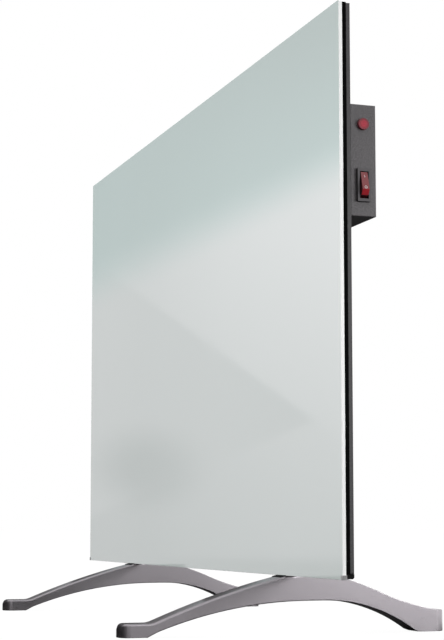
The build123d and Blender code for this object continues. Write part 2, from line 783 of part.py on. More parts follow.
# Rocker, drawn level about its pivot and then tilted: upper end pressed in
skirt_end_z = math.sqrt(skirt_radius**2 - rocker_end_reach**2)
skirt_back_z = math.sqrt(skirt_radius**2 - rocker_back**2)
rocker_plane = Plane(
    origin=(pivot_x, control_y + rocker_width / 2, switch_z),
    x_dir=Vector(1, 0, 0).rotate(Axis.Y, -rocker_tilt),
    z_dir=(0, -1, 0),
)
barrel_plane = Plane(
    origin=(pivot_x, control_y, switch_z),
    x_dir=(0, 1, 0),
    z_dir=Vector(1, 0, 0).rotate(Axis.Y, -rocker_tilt),
)
with BuildPart() as switch_rocker:
    with BuildSketch(rocker_plane):
        with BuildLine():
            Polyline(
                (rocker_end_reach, -skirt_end_z),
                (rocker_face_reach, -rocker_face_half),
                (rocker_face_reach, rocker_press_half),
                (rocker_end_reach, skirt_end_z),
            )
            ThreePointArc(
                (rocker_end_reach, skirt_end_z),
                (0, skirt_radius),
                (-rocker_back, skirt_back_z),
            )
            Line((-rocker_back, skirt_back_z), (-rocker_back, -skirt_back_z))
            ThreePointArc(
                (-rocker_back, -skirt_back_z),
                (0, -skirt_radius),
                (rocker_end_reach, -skirt_end_z),
            )
        make_face()
    extrude(amount=rocker_width)
    crests = [
        Vector(pivot_x, control_y, switch_z)
        + Vector(rocker_face_reach, 0, crest_z).rotate(Axis.Y, -rocker_tilt)
        for crest_z in (rocker_press_half, -rocker_face_half)
    ]
    for crest in crests:
        fillet(switch_rocker.edges().filter_by(Axis.Y).sort_by_distance(crest)[0], rocker_edge_round)
    with BuildSketch(barrel_plane.offset(-rocker_back)):
        Circle(barrel_radius)
    extrude(amount=-barrel_length)
    with BuildSketch(barrel_plane.offset(-rocker_back - barrel_length)):
        Circle(plunger_radius + plunger_gap)
    bore_top = plunger_top_x + spring_length - pivot_x
    extrude(amount=bore_top + rocker_back + barrel_length, mode=Mode.SUBTRACT)
    with BuildSketch(front_view(control_y + rocker_width / 2)):
        with Locations((pivot_x, switch_z)):
            Circle(pivot_pin_radius)
    extrude(amount=-pivot_pin_length)
    with BuildSketch(front_view(control_y - rocker_width / 2)):
        with Locations((pivot_x, switch_z)):
            Circle(pivot_pin_radius)
    extrude(amount=pivot_pin_length)
save(switch_rocker, "switch_rocker")

# Plunger and spring in the rocker's barrel
plunger_top = plunger_top_x - pivot_x
with BuildPart() as rocker_plunger:
    with BuildSketch(barrel_plane.offset(plunger_top)):
        Circle(plunger_radius)
    extrude(amount=-plunger_length)
    tip_edges = rocker_plunger.edges().sort_by(Axis.X)[0]
    fillet(tip_edges, plunger_radius - plunger_gap)
save(rocker_plunger, "rocker_plunger")

spring_radius = plunger_radius - spring_wire
spring_rise = spring_length - 2 * spring_wire
spring_base = barrel_plane.offset(plunger_top + spring_wire)
with BuildPart() as rocker_spring:
    with BuildLine() as spring_path:
        Helix(
            pitch=spring_rise / spring_turns,
            height=spring_rise,
            radius=spring_radius,
            center=spring_base.origin,
            direction=spring_base.z_dir,
        )
    with BuildSketch(Plane(origin=spring_path.line @ 0, z_dir=spring_path.line % 0)):
        Circle(spring_wire / 2)
    sweep(is_frenet=True)
save(rocker_spring, "rocker_spring")

# Seesaw contact: its lower end rests on the lower blade
seesaw_plane = Plane(
    origin=(fulcrum_x, control_y + seesaw_width / 2, switch_z),
    x_dir=Vector(1, 0, 0).rotate(Axis.Y, seesaw_tilt),
    z_dir=(0, -1, 0),
)
seesaw_face = Plane(
    origin=(fulcrum_x, control_y, switch_z),
    x_dir=(0, 1, 0),
    z_dir=Vector(1, 0, 0).rotate(Axis.Y, seesaw_tilt),
)
with BuildPart() as seesaw_contact:
    with BuildSketch(seesaw_plane):
        with Locations((seesaw_reach, 0)):
            Rectangle(seesaw_thickness, 2 * seesaw_half, align=(Align.MIN, Align.CENTER))
    extrude(amount=seesaw_width)
    with BuildSketch(seesaw_face.offset(seesaw_reach)):
        with Locations((0, contact_pitch), (0, -contact_pitch)):
            Circle(contact_radius)
    extrude(amount=-contact_height)
save(seesaw_contact, "seesaw_contact")

# Blades: the middle one ends in the seesaw's fulcrum, rounded about its axis
with BuildPart() as switch_blades:
    for blade_z in blade_zs:
        blade_top = fulcrum_x if blade_z == switch_z else contact_top_x
        with BuildSketch(end_view(blade_end_x)):
            with Locations((control_y, blade_z)):
                Rectangle(blade_width, blade_thickness)
        extrude(amount=blade_top - blade_end_x)
    with BuildSketch(front_view(control_y + blade_width / 2)):
        with Locations((fulcrum_x, switch_z)):
            Circle(fulcrum_radius)
    extrude(amount=blade_width)
save(switch_blades, "switch_blades")

# Grommet in the lead port, gripping tray and base plate
flange_height = port_height + 2 * grommet_flange
flange_width = port_width + 2 * grommet_flange
with BuildPart() as port_grommet:
    with BuildSketch(front_view(plate_back_y + grommet_flange_thickness)):
        with Locations((port_x, port_z)):
            SlotOverall(flange_height, flange_width, rotation=90)
    extrude(amount=grommet_flange_thickness)
    with BuildSketch(front_view(plate_back_y)):
        with Locations((port_x, port_z)):
            SlotOverall(port_height - 2 * screw_clearance, port_width - 2 * screw_clearance, rotation=90)
    extrude(amount=rivet_grip)
    with BuildSketch(front_view(tray_floor_y)):
        with Locations((port_x, port_z)):
            SlotOverall(flange_height, flange_width, rotation=90)
    extrude(amount=grommet_flange_thickness)
    with BuildSketch(front_view(plate_back_y + grommet_flange_thickness)):
        with Locations((port_x, port_z)):
            SlotOverall(port_height - 2 * grommet_wall, port_width - 2 * grommet_wall, rotation=90)
    extrude(amount=rivet_grip + 2 * grommet_flange_thickness, mode=Mode.SUBTRACT)
save(port_grommet, "port_grommet")

# Terminal block with a cross bore and two screw wells for each pole
with BuildPart() as terminal_block:
    with BuildSketch(front_view(block_back_y)):
        with Locations((block_x, block_z)):
            Rectangle(block_length, block_height)
    extrude(amount=block_depth)
    fillet(terminal_block.faces().sort_by(Axis.Y)[-1].edges(), box_edge_round)
    with BuildSketch(end_view(block_end_x)):
        with Locations(*[(pole_bore_y, z) for z in pole_zs]):
            Circle(pole_bore_radius)
    extrude(amount=-block_length, mode=Mode.SUBTRACT)
    well_spots = [(block_x + side * pole_screw_offset, z) for side in (-1, 1) for z in pole_zs]
    with BuildSketch(front_view(block_back_y)):
        with Locations(*well_spots):
            Circle(pole_screw_radius + screw_clearance)
    extrude(amount=block_back_y - pole_bore_y, mode=Mode.SUBTRACT)
save(terminal_block, "terminal_block")

with BuildPart() as terminal_screws:
    with BuildSketch(front_view(block_back_y - pole_screw_sink)):
        with Locations(*well_spots):
            Circle(pole_screw_radius)
    extrude(amount=block_back_y - pole_screw_sink - pole_bore_y - wire_radius)
save(terminal_screws, "terminal_screws")

# Overheat cut-out on the base plate
with BuildPart() as thermal_cutout:
    with BuildSketch(front_view(plate_back_y + cutout_ear_thickness)):
        with Locations((cutout_x, cutout_z)):
            SlotCenterToCenter(cutout_ear_pitch, cutout_ear_width)
        with Locations(*[(x, cutout_z) for x in cutout_ears]):
            Circle(rivet_radius + screw_clearance, mode=Mode.SUBTRACT)
    extrude(amount=cutout_ear_thickness)
    with BuildSketch(front_view(plate_back_y + cutout_height)):
        with Locations((cutout_x, cutout_z)):
            Circle(cutout_radius)
    extrude(amount=cutout_height)
    with BuildSketch(front_view(plate_back_y + cutout_height + cutout_blade_height)):
        for side in (-1, 1):
            with Locations((cutout_x + side * cutout_blade_pitch / 2, cutout_z)):
                Rectangle(blade_thickness, blade_width)
    extrude(amount=cutout_blade_height)
save(thermal_cutout, "thermal_cutout")

with BuildPart() as cutout_rivets:
    with BuildSketch(front_view(plate_back_y + cutout_ear_thickness)):
        with Locations(*[(x, cutout_z) for x in cutout_ears]):
            Circle(rivet_radius)
    extrude(amount=cutout_ear_thickness)
    with BuildSketch(front_view(plate_back_y + cutout_ear_thickness)):
        with Locations(*[(x, cutout_z) for x in cutout_ears]):
            Circle(rivet_radius * screw_head_ratio)
    extrude(amount=-rivet_head_height)
save(cutout_rivets, "cutout_rivets")

# Earth stud and its nut
with BuildPart() as earth_stud:
    with BuildSketch(front_view(plate_back_y)):
        with Locations((earth_x, earth_z)):
            Circle(earth_radius)
    extrude(amount=-earth_length)
save(earth_stud, "earth_stud")

with BuildPart() as earth_nut:
    with BuildSketch(front_view(plate_back_y)):
        with Locations((earth_x, earth_z)):
            RegularPolygon(earth_nut_flats / 2, 6, major_radius=False)
            Circle(earth_radius + screw_clearance, mode=Mode.SUBTRACT)
    extrude(amount=-earth_nut_thickness)
save(earth_nut, "earth_nut")

# Lead entry: body through the box's underside, lock nut inside, dome nut below
with BuildPart() as gland_body:
    with BuildSketch(Plane.XY.offset(box_base_z)):
        with Locations((gland_x, control_y)):
            RegularPolygon(gland_flats / 2, 6, major_radius=False)
    extrude(amount=-gland_hex_height)
    with BuildSketch(Plane.XY.offset(box_base_z)):
        with Locations((gland_x, control_y)):
            Circle(gland_thread_radius)
    extrude(amount=gland_thread_length)
    with BuildSketch(Plane.XY.offset(box_base_z - gland_hex_height)):
        with Locations((gland_x, control_y)):
            Circle(gland_bore_radius)
    extrude(amount=gland_hex_height + gland_thread_length, mode=Mode.SUBTRACT)
save(gland_body, "gland_body")

with BuildPart() as gland_nut:
    with BuildSketch(Plane.XY.offset(box_base_z + box_sheet)):
        with Locations((gland_x, control_y)):
            RegularPolygon(gland_flats / 2, 6, major_radius=False)
            Circle(gland_thread_radius + screw_clearance, mode=Mode.SUBTRACT)
    extrude(amount=gland_nut_thickness)
save(gland_nut, "gland_nut")

dome_top_z = box_base_z - gland_hex_height
with BuildPart() as gland_dome:
    with BuildSketch(Plane.XY.offset(dome_top_z)):
        with Locations((gland_x, control_y)):
            Circle(dome_radius)
    extrude(amount=-dome_height)
    fillet(gland_dome.faces().sort_by(Axis.Z)[0].edges(), dome_radius - gland_seal_radius)
    with BuildSketch(Plane.XY.offset(dome_top_z)):
        with Locations((gland_x, control_y)):
            Circle(gland_seal_radius + screw_clearance)
    extrude(amount=-gland_seal_height, mode=Mode.SUBTRACT)
    with BuildSketch(Plane.XY.offset(dome_top_z - dome_height)):
        with Locations((gland_x, control_y)):
            Circle(dome_mouth_radius)
    extrude(amount=dome_height, mode=Mode.SUBTRACT)
save(gland_dome, "gland_dome")

with BuildPart() as gland_seal:
    with BuildSketch(Plane.XY.offset(dome_top_z)):
        with Locations((gland_x, control_y)):
            Circle(gland_seal_radius)
            Circle(gland_seal_bore, mode=Mode.SUBTRACT)
    extrude(amount=-gland_seal_height)
save(gland_seal, "gland_seal")

# Wires: busbars to block, block to switch, switch to cut-out and back, lamp to both
bore_front_x = block_x + pole_screw_offset
bore_back_x = block_x - pole_screw_offset
feed_z, live_z, neutral_z = pole_zs
switch_out_z = blade_zs[-1]
cutout_in_x, cutout_out_x = (cutout_x + side * cutout_blade_pitch / 2 for side in (1, -1))
cutout_tip_y = plate_back_y + cutout_height + cutout_blade_height
lamp_low_y, lamp_high_y = (control_y + side * lamp_lead_offset for side in (-1, 1))
feed_turn_x = block_end_x + feed_run
feed_rise_x = feed_turn_x + feed_rise_run
switch_turn_x = blade_end_x - switch_run
wire_level_y = cutout_tip_y + wire_rise
cutout_turn_x = block_start_x - block_turn
lamp_turn_x = (blade_end_x + switch_back_x) / 2
lamp_far_x = cutout_turn_x - lamp_far_run
wire_routes = {
    "heater_leads": (
        (
            (port_x, busbar_back_y, live_z),
            (port_x, pole_bore_y, live_z),
            (bore_front_x, pole_bore_y, live_z),
        ),
        (
            (port_x, busbar_back_y, neutral_z),
            (port_x, pole_bore_y, neutral_z),
            (bore_front_x, pole_bore_y, neutral_z),
        ),
    ),
    "switch_leads": (
        (
            (bore_front_x, pole_bore_y, feed_z),
            (feed_turn_x, pole_bore_y, feed_z),
            (feed_rise_x, control_y, switch_z),
            (blade_end_x, control_y, switch_z),
        ),
        (
            (blade_end_x, control_y, switch_out_z),
            (switch_turn_x, control_y, switch_out_z),
            (switch_turn_x, wire_level_y, switch_out_z),
            (switch_turn_x, wire_level_y, cutout_z),
            (cutout_in_x, wire_level_y, cutout_z),
            (cutout_in_x, cutout_tip_y, cutout_z),
        ),
    ),
    "cutout_lead": (
        (
            (cutout_out_x, cutout_tip_y, cutout_z),
            (cutout_out_x, wire_level_y, cutout_z),
            (cutout_turn_x, wire_level_y, cutout_z),
            (cutout_turn_x, wire_level_y, live_z),
            (cutout_turn_x, pole_bore_y, live_z),
            (bore_back_x, pole_bore_y, live_z),
        ),
    ),
    "lamp_leads": (
        (
            (lamp_body_x, lamp_low_y, lamp_z),
            (lamp_turn_x, lamp_low_y, lamp_z),
            (lamp_turn_x, lamp_low_y, switch_out_z + blade_thickness / 2),
        ),
        (
            (lamp_body_x, lamp_high_y, lamp_z),
            (lamp_far_x, lamp_high_y, lamp_z),
            (lamp_far_x, lamp_high_y, neutral_z),
            (lamp_far_x, pole_bore_y, neutral_z),
            (bore_back_x, pole_bore_y, neutral_z),
        ),
    ),
}
for route_name, routes in wire_routes.items():
    with BuildPart() as wires:
        for route in routes:
            with BuildLine() as path:
                FilletPolyline(*route, radius=wire_bend)
            with BuildSketch(Plane(origin=path.line @ 0, z_dir=path.line % 0)):
                Circle(wire_radius)
            sweep(path=path.line)
    save(wires, route_name)
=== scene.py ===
import json
import math

import bmesh
import bpy
from mathutils import Matrix, Vector


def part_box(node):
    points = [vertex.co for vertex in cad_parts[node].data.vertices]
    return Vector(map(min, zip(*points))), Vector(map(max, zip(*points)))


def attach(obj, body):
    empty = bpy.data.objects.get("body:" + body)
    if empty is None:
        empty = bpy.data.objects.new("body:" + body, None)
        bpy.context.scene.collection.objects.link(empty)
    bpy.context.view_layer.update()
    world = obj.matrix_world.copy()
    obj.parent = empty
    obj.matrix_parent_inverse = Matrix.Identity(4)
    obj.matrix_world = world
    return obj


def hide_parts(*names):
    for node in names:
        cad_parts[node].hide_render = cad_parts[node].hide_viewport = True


# Looks of a glass panel heater on two cast feet, in metres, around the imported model
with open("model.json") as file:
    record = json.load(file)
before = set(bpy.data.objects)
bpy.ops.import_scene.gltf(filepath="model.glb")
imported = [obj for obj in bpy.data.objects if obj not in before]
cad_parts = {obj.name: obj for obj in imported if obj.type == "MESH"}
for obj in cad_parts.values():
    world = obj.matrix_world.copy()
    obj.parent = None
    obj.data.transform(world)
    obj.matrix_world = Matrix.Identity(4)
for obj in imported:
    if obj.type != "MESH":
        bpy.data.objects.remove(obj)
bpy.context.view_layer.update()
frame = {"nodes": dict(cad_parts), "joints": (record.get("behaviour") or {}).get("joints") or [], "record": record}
nodes = frame["nodes"]
scene = bpy.context.scene
mm = 0.001
print("frame loaded,", len(nodes), "nodes")


# Camera

cameraLook = {
    "place": (2.0276, -0.6618, 0.1192),
    "turn": 19.12,  # degrees from -X towards +Y
    "rise": 5.72,
    "lens": 92.17,
    "shift": (0.0055, 0.0639),
    "farClip": 200,
}


def makeCamera(look):
    turn = math.radians(look["turn"])
    rise = math.radians(look["rise"])
    level = math.cos(rise)
    gaze = Vector((-level * math.cos(turn), level * math.sin(turn), math.sin(rise)))
    facing = gaze.to_track_quat("-Z", "Y").to_euler()
    bpy.ops.object.camera_add(location=look["place"], rotation=facing)
    camera = bpy.context.active_object
    camera.name = "photoCamera"
    camera.data.lens = look["lens"]
    camera.data.shift_x, camera.data.shift_y = look["shift"]
    camera.data.clip_end = look["farClip"]
    scene.camera = camera


makeCamera(cameraLook)
scene.view_settings.view_transform = "Standard"
print("camera placed")


# Working by hand: selecting, editing, finishing


handLook = {
    "along": 0.999,  # part of an edge's direction that counts as running along an axis
    "merge": 0.002 * mm,
    "flatAngle": 0.3,  # degrees
}
mostly, squarely = 0.9, 0.99  # parts of a face's normal
fineAngle, broadAngle = 30, 35  # degrees between faces, above which an edge stays sharp


def pickOnly(piece):
    bpy.ops.object.select_all(action="DESELECT")
    piece.select_set(True)
    bpy.context.view_layer.objects.active = piece


def startEdit(piece):
    pickOnly(piece)
    bpy.ops.object.mode_set(mode="EDIT")


def endEdit():
    bpy.ops.object.mode_set(mode="OBJECT")


def pick(piece, kind, wanted):
    bpy.ops.mesh.select_mode(type=kind)
    bpy.ops.mesh.select_all(action="DESELECT")
    mesh = bmesh.from_edit_mesh(piece.data)
    found = {"VERT": mesh.verts, "EDGE": mesh.edges, "FACE": mesh.faces}[kind]
    for part in found:
        if wanted(part):
            part.select_set(True)
    mesh.select_flush_mode()
    bmesh.update_edit_mesh(piece.data)


def middle(edge):
    return (edge.verts[0].co + edge.verts[1].co) / 2


def isSharp(edge, degrees=broadAngle):
    return len(edge.link_faces) == 2 and edge.calc_face_angle() > math.radians(degrees)


def runsAlong(edge, axis):
    run = (edge.verts[1].co - edge.verts[0].co).normalized()
    return abs(run[axis]) > handLook["along"]


def applyAll(piece):
    pickOnly(piece)
    for modifier in list(piece.modifiers):
        bpy.ops.object.modifier_apply(modifier=modifier.name)


def settle(piece):  # the place goes into the mesh
    pickOnly(piece)
    bpy.ops.object.transform_apply(location=True, rotation=True, scale=True)


def smooth(piece, degrees=40):
    pickOnly(piece)
    bpy.ops.object.shade_smooth_by_angle(angle=math.radians(degrees))
    evenShade = piece.modifiers.new("evenShade", "WEIGHTED_NORMAL")
    evenShade.keep_sharp = True
    applyAll(piece)


def mergedCopy(nodeName, pieceName):
    piece = bpy.data.objects.new(pieceName, nodes[nodeName].data.copy())
    bpy.context.collection.objects.link(piece)
    startEdit(piece)
    bpy.ops.mesh.select_all(action="SELECT")
    bpy.ops.mesh.remove_doubles(threshold=handLook["merge"])
    bpy.ops.mesh.dissolve_limited(angle_limit=math.radians(handLook["flatAngle"]))
    endEdit()
    bpy.ops.mesh.customdata_custom_splitnormals_clear()
    return piece


def bevelPicked(piece, width, segments, wanted):
    startEdit(piece)
    pick(piece, "EDGE", wanted)
    bpy.ops.mesh.bevel(offset=width, segments=segments, affect="EDGES", clamp_overlap=False)
    endEdit()


def dress(piece, material, body, slotName, *stoodFor):
    piece.data.materials.clear()
    piece.data.materials.append(material)
    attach(piece, body)
    if stoodFor:
        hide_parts(*stoodFor)


# Shader building: a socket is linked, a number or colour is set


def feed(tree, socket, value):
    if isinstance(value, bpy.types.NodeSocket):
        tree.links.new(value, socket)
    else:
        socket.default_value = value


def addNode(tree, kind, inputs, **settings):
    node = tree.nodes.new("ShaderNode" + kind)
    for label, value in settings.items():
        setattr(node, label, value)
    for label, value in inputs.items():
        feed(tree, node.inputs[label], value)
    return node


def sums(tree, operation, *values):
    node = addNode(tree, "Math", dict(enumerate(values)), operation=operation)
    return node.outputs[0]


def stretch(tree, value, low, high, toLow=0.0, toHigh=1.0, kind="LINEAR"):
    inputs = {"Value": value, "From Min": low, "From Max": high, "To Min": toLow, "To Max": toHigh}
    return addNode(tree, "MapRange", inputs, interpolation_type=kind).outputs[0]


def mixColours(tree, amount, first, second, blend="MIX"):
    inputs = {0: amount, 6: first, 7: second}  # 6 and 7 are the node's colour sockets
    return addNode(tree, "Mix", inputs, data_type="RGBA", blend_type=blend).outputs[2]


def noise(tree, coordinates, scale, detail=2.0):
    inputs = {"Vector": coordinates, "Scale": scale, "Detail": detail}
    return addNode(tree, "TexNoise", inputs).outputs[0]


def objectPoint(tree):
    return addNode(tree, "TexCoord", {}).outputs["Object"]


def rgb(red, green, blue):
    return (red, green, blue, 1.0)


# Shared effects, each one a node group


def startGroup(name, inputs, outputs):
    tree = bpy.data.node_groups.new(name, "ShaderNodeTree")
    for label, value in inputs.items():
        socket = tree.interface.new_socket(label, in_out="INPUT", socket_type="NodeSocketFloat")
        socket.default_value = value
    for label in outputs:
        tree.interface.new_socket(label, in_out="OUTPUT", socket_type="NodeSocketFloat")
    return tree, tree.nodes.new("NodeGroupInput").outputs, tree.nodes.new("NodeGroupOutput").inputs


grainLooks = {
    "powder": {"scale": 900.0, "specks": 1.7, "shades": (0.42, 0.68), "speckHeight": 0.35},
    "grain": {"scale": 1500.0, "shades": (0.3, 0.7)},
    "brushed": {"scale": 2500.0, "alongX": 0.03, "shades": (0.3, 0.7)},
    "cast": {"scale": 2600.0, "swells": 0.055, "shades": (0.35, 0.65), "flakeHeight": 0.12},
}
wearLook = {
    "radius": 0.5 * mm,
    "patches": 120.0,
    "detail": 5.0,
    "turned": (0.995, 0.86),  # how far the rounded normal has left the flat one
    "patchShades": (0.45, 0.62),
}
dustLook = {
    "scale": 60.0,
    "amount": 0.3,
    "detail": 8.0,
    "slopes": (0.55, 0.98),
    "cloudShades": (0.35, 0.75),
    "tone": (0.42, 0.40, 0.37),
    "roughness": 0.3,
}


def makePowderCoat(look):  # orange peel with fine specks
    tree, given, made = startGroup("powderCoat", {"Scale": look["scale"]}, ("Shade", "Height"))
    point = objectPoint(tree)
    peel = noise(tree, point, given["Scale"], 2.0)
    specks = noise(tree, point, sums(tree, "MULTIPLY", given["Scale"], look["specks"]), 1.0)
    feed(tree, made["Shade"], stretch(tree, specks, *look["shades"]))
    feed(tree, made["Height"], sums(tree, "MULTIPLY_ADD", specks, look["speckHeight"], peel))
    return tree


def makeFineGrain(look):  # moulded plastic and rubber
    tree, given, made = startGroup("fineGrain", {"Scale": look["scale"]}, ("Shade", "Height"))
    grain = noise(tree, objectPoint(tree), given["Scale"], 4.0)
    feed(tree, made["Shade"], stretch(tree, grain, *look["shades"]))
    feed(tree, made["Height"], grain)
    return tree


def makeBrushedLines(look):  # drawing marks, long in X
    tree, given, made = startGroup("brushedLines", {"Scale": look["scale"]}, ("Shade", "Height"))
    spacing = (look["alongX"], 1.0, 1.0)
    point = addNode(tree, "Mapping", {"Vector": objectPoint(tree), "Scale": spacing})
    lines = noise(tree, point.outputs[0], given["Scale"], 3.0)
    feed(tree, made["Shade"], stretch(tree, lines, *look["shades"]))
    feed(tree, made["Height"], lines)
    return tree


def makeCastSkin(look):  # satin paint over a casting: soft swells, fine flake
    tree, given, made = startGroup("castSkin", {"Scale": look["scale"]}, ("Shade", "Height"))
    point = objectPoint(tree)
    flake = noise(tree, point, given["Scale"], 1.0)
    swell = noise(tree, point, sums(tree, "MULTIPLY", given["Scale"], look["swells"]), 2.0)
    feed(tree, made["Shade"], stretch(tree, flake, *look["shades"]))
    feed(tree, made["Height"], sums(tree, "MULTIPLY_ADD", flake, look["flakeHeight"], swell))
    return tree


def makeEdgeWear(look):  # rubbed edges, broken up by noise
    sockets = {"Radius": look["radius"], "Patches": look["patches"]}
    tree, given, made = startGroup("edgeWear", sockets, ("Mask",))
    rounded = addNode(tree, "Bevel", {"Radius": given["Radius"]}, samples=4).outputs[0]
    flat = addNode(tree, "NewGeometry", {}).outputs["Normal"]
    match = addNode(tree, "VectorMath", {0: rounded, 1: flat}, operation="DOT_PRODUCT")
    edge = stretch(tree, match.outputs["Value"], *look["turned"])
    clouds = noise(tree, objectPoint(tree), given["Patches"], look["detail"])
    patches = stretch(tree, clouds, *look["patchShades"])
    feed(tree, made["Mask"], sums(tree, "MULTIPLY", edge, patches))
    return tree


def makeSettledDust(look):  # thin dust on what faces up
    sockets = {"Scale": look["scale"], "Amount": look["amount"]}
    tree, given, made = startGroup("settledDust", sockets, ("Mask",))
    facing = addNode(tree, "NewGeometry", {}).outputs["Normal"]
    upward = addNode(tree, "SeparateXYZ", {0: facing}).outputs["Z"]
    lying = stretch(tree, upward, *look["slopes"])
    drifts = noise(tree, objectPoint(tree), given["Scale"], look["detail"])
    clouds = stretch(tree, drifts, *look["cloudShades"])
    cover = sums(tree, "MULTIPLY", lying, clouds)
    feed(tree, made["Mask"], sums(tree, "MULTIPLY", cover, given["Amount"]))
    return tree


grains = {
    "powder": makePowderCoat(grainLooks["powder"]),
    "grain": makeFineGrain(grainLooks["grain"]),
    "brushed": makeBrushedLines(grainLooks["brushed"]),
    "cast": makeCastSkin(grainLooks["cast"]),
}
edgeWear = makeEdgeWear(wearLook)
settledDust = makeSettledDust(dustLook)
coatRoughness = 0.08


def placeGroup(tree, group, **values):
    return addNode(tree, "Group", values, node_tree=group).outputs


def startMaterial(name):
    material = bpy.data.materials.new(name)
    material.use_nodes = True
    return material, material.node_tree, material.node_tree.nodes["Principled BSDF"].inputs


# One finish, from its colours, gloss, grain, worn edges and dust
def makeFinish(name, look):
    material, tree, shader = startMaterial(name)
    grain = placeGroup(tree, grains[look["grain"]], Scale=look["scale"])
    tone = mixColours(tree, grain["Shade"], rgb(*look["colour"]), rgb(*look["fleck"]))
    rough = stretch(tree, grain["Shade"], 0.0, 1.0, *look["rough"])
    if "worn" in look:
        wear = placeGroup(tree, edgeWear, Radius=look["wornRadius"])["Mask"]
        tone = mixColours(tree, wear, tone, rgb(*look["worn"]))
    if "dust" in look:
        dust = placeGroup(tree, settledDust, Amount=look["dust"])["Mask"]
        tone = mixColours(tree, dust, tone, rgb(*dustLook["tone"]))
        rough = sums(tree, "MULTIPLY_ADD", dust, dustLook["roughness"], rough)
    feed(tree, shader["Base Color"], tone)
    feed(tree, shader["Roughness"], rough)
    shader["Metallic"].default_value = look.get("metallic", 0.0)
    shader["Coat Weight"].default_value = look.get("coat", 0.0)
    shader["Coat Roughness"].default_value = coatRoughness
    shader["Specular IOR Level"].default_value = look.get("gleam", 0.5)
    bumpInputs = {"Height": grain["Height"], "Strength": look["bump"], "Distance": look["depth"]}
    feed(tree, shader["Normal"], addNode(tree, "Bump", bumpInputs).outputs[0])
    return material


# Finishes by the record's material slots

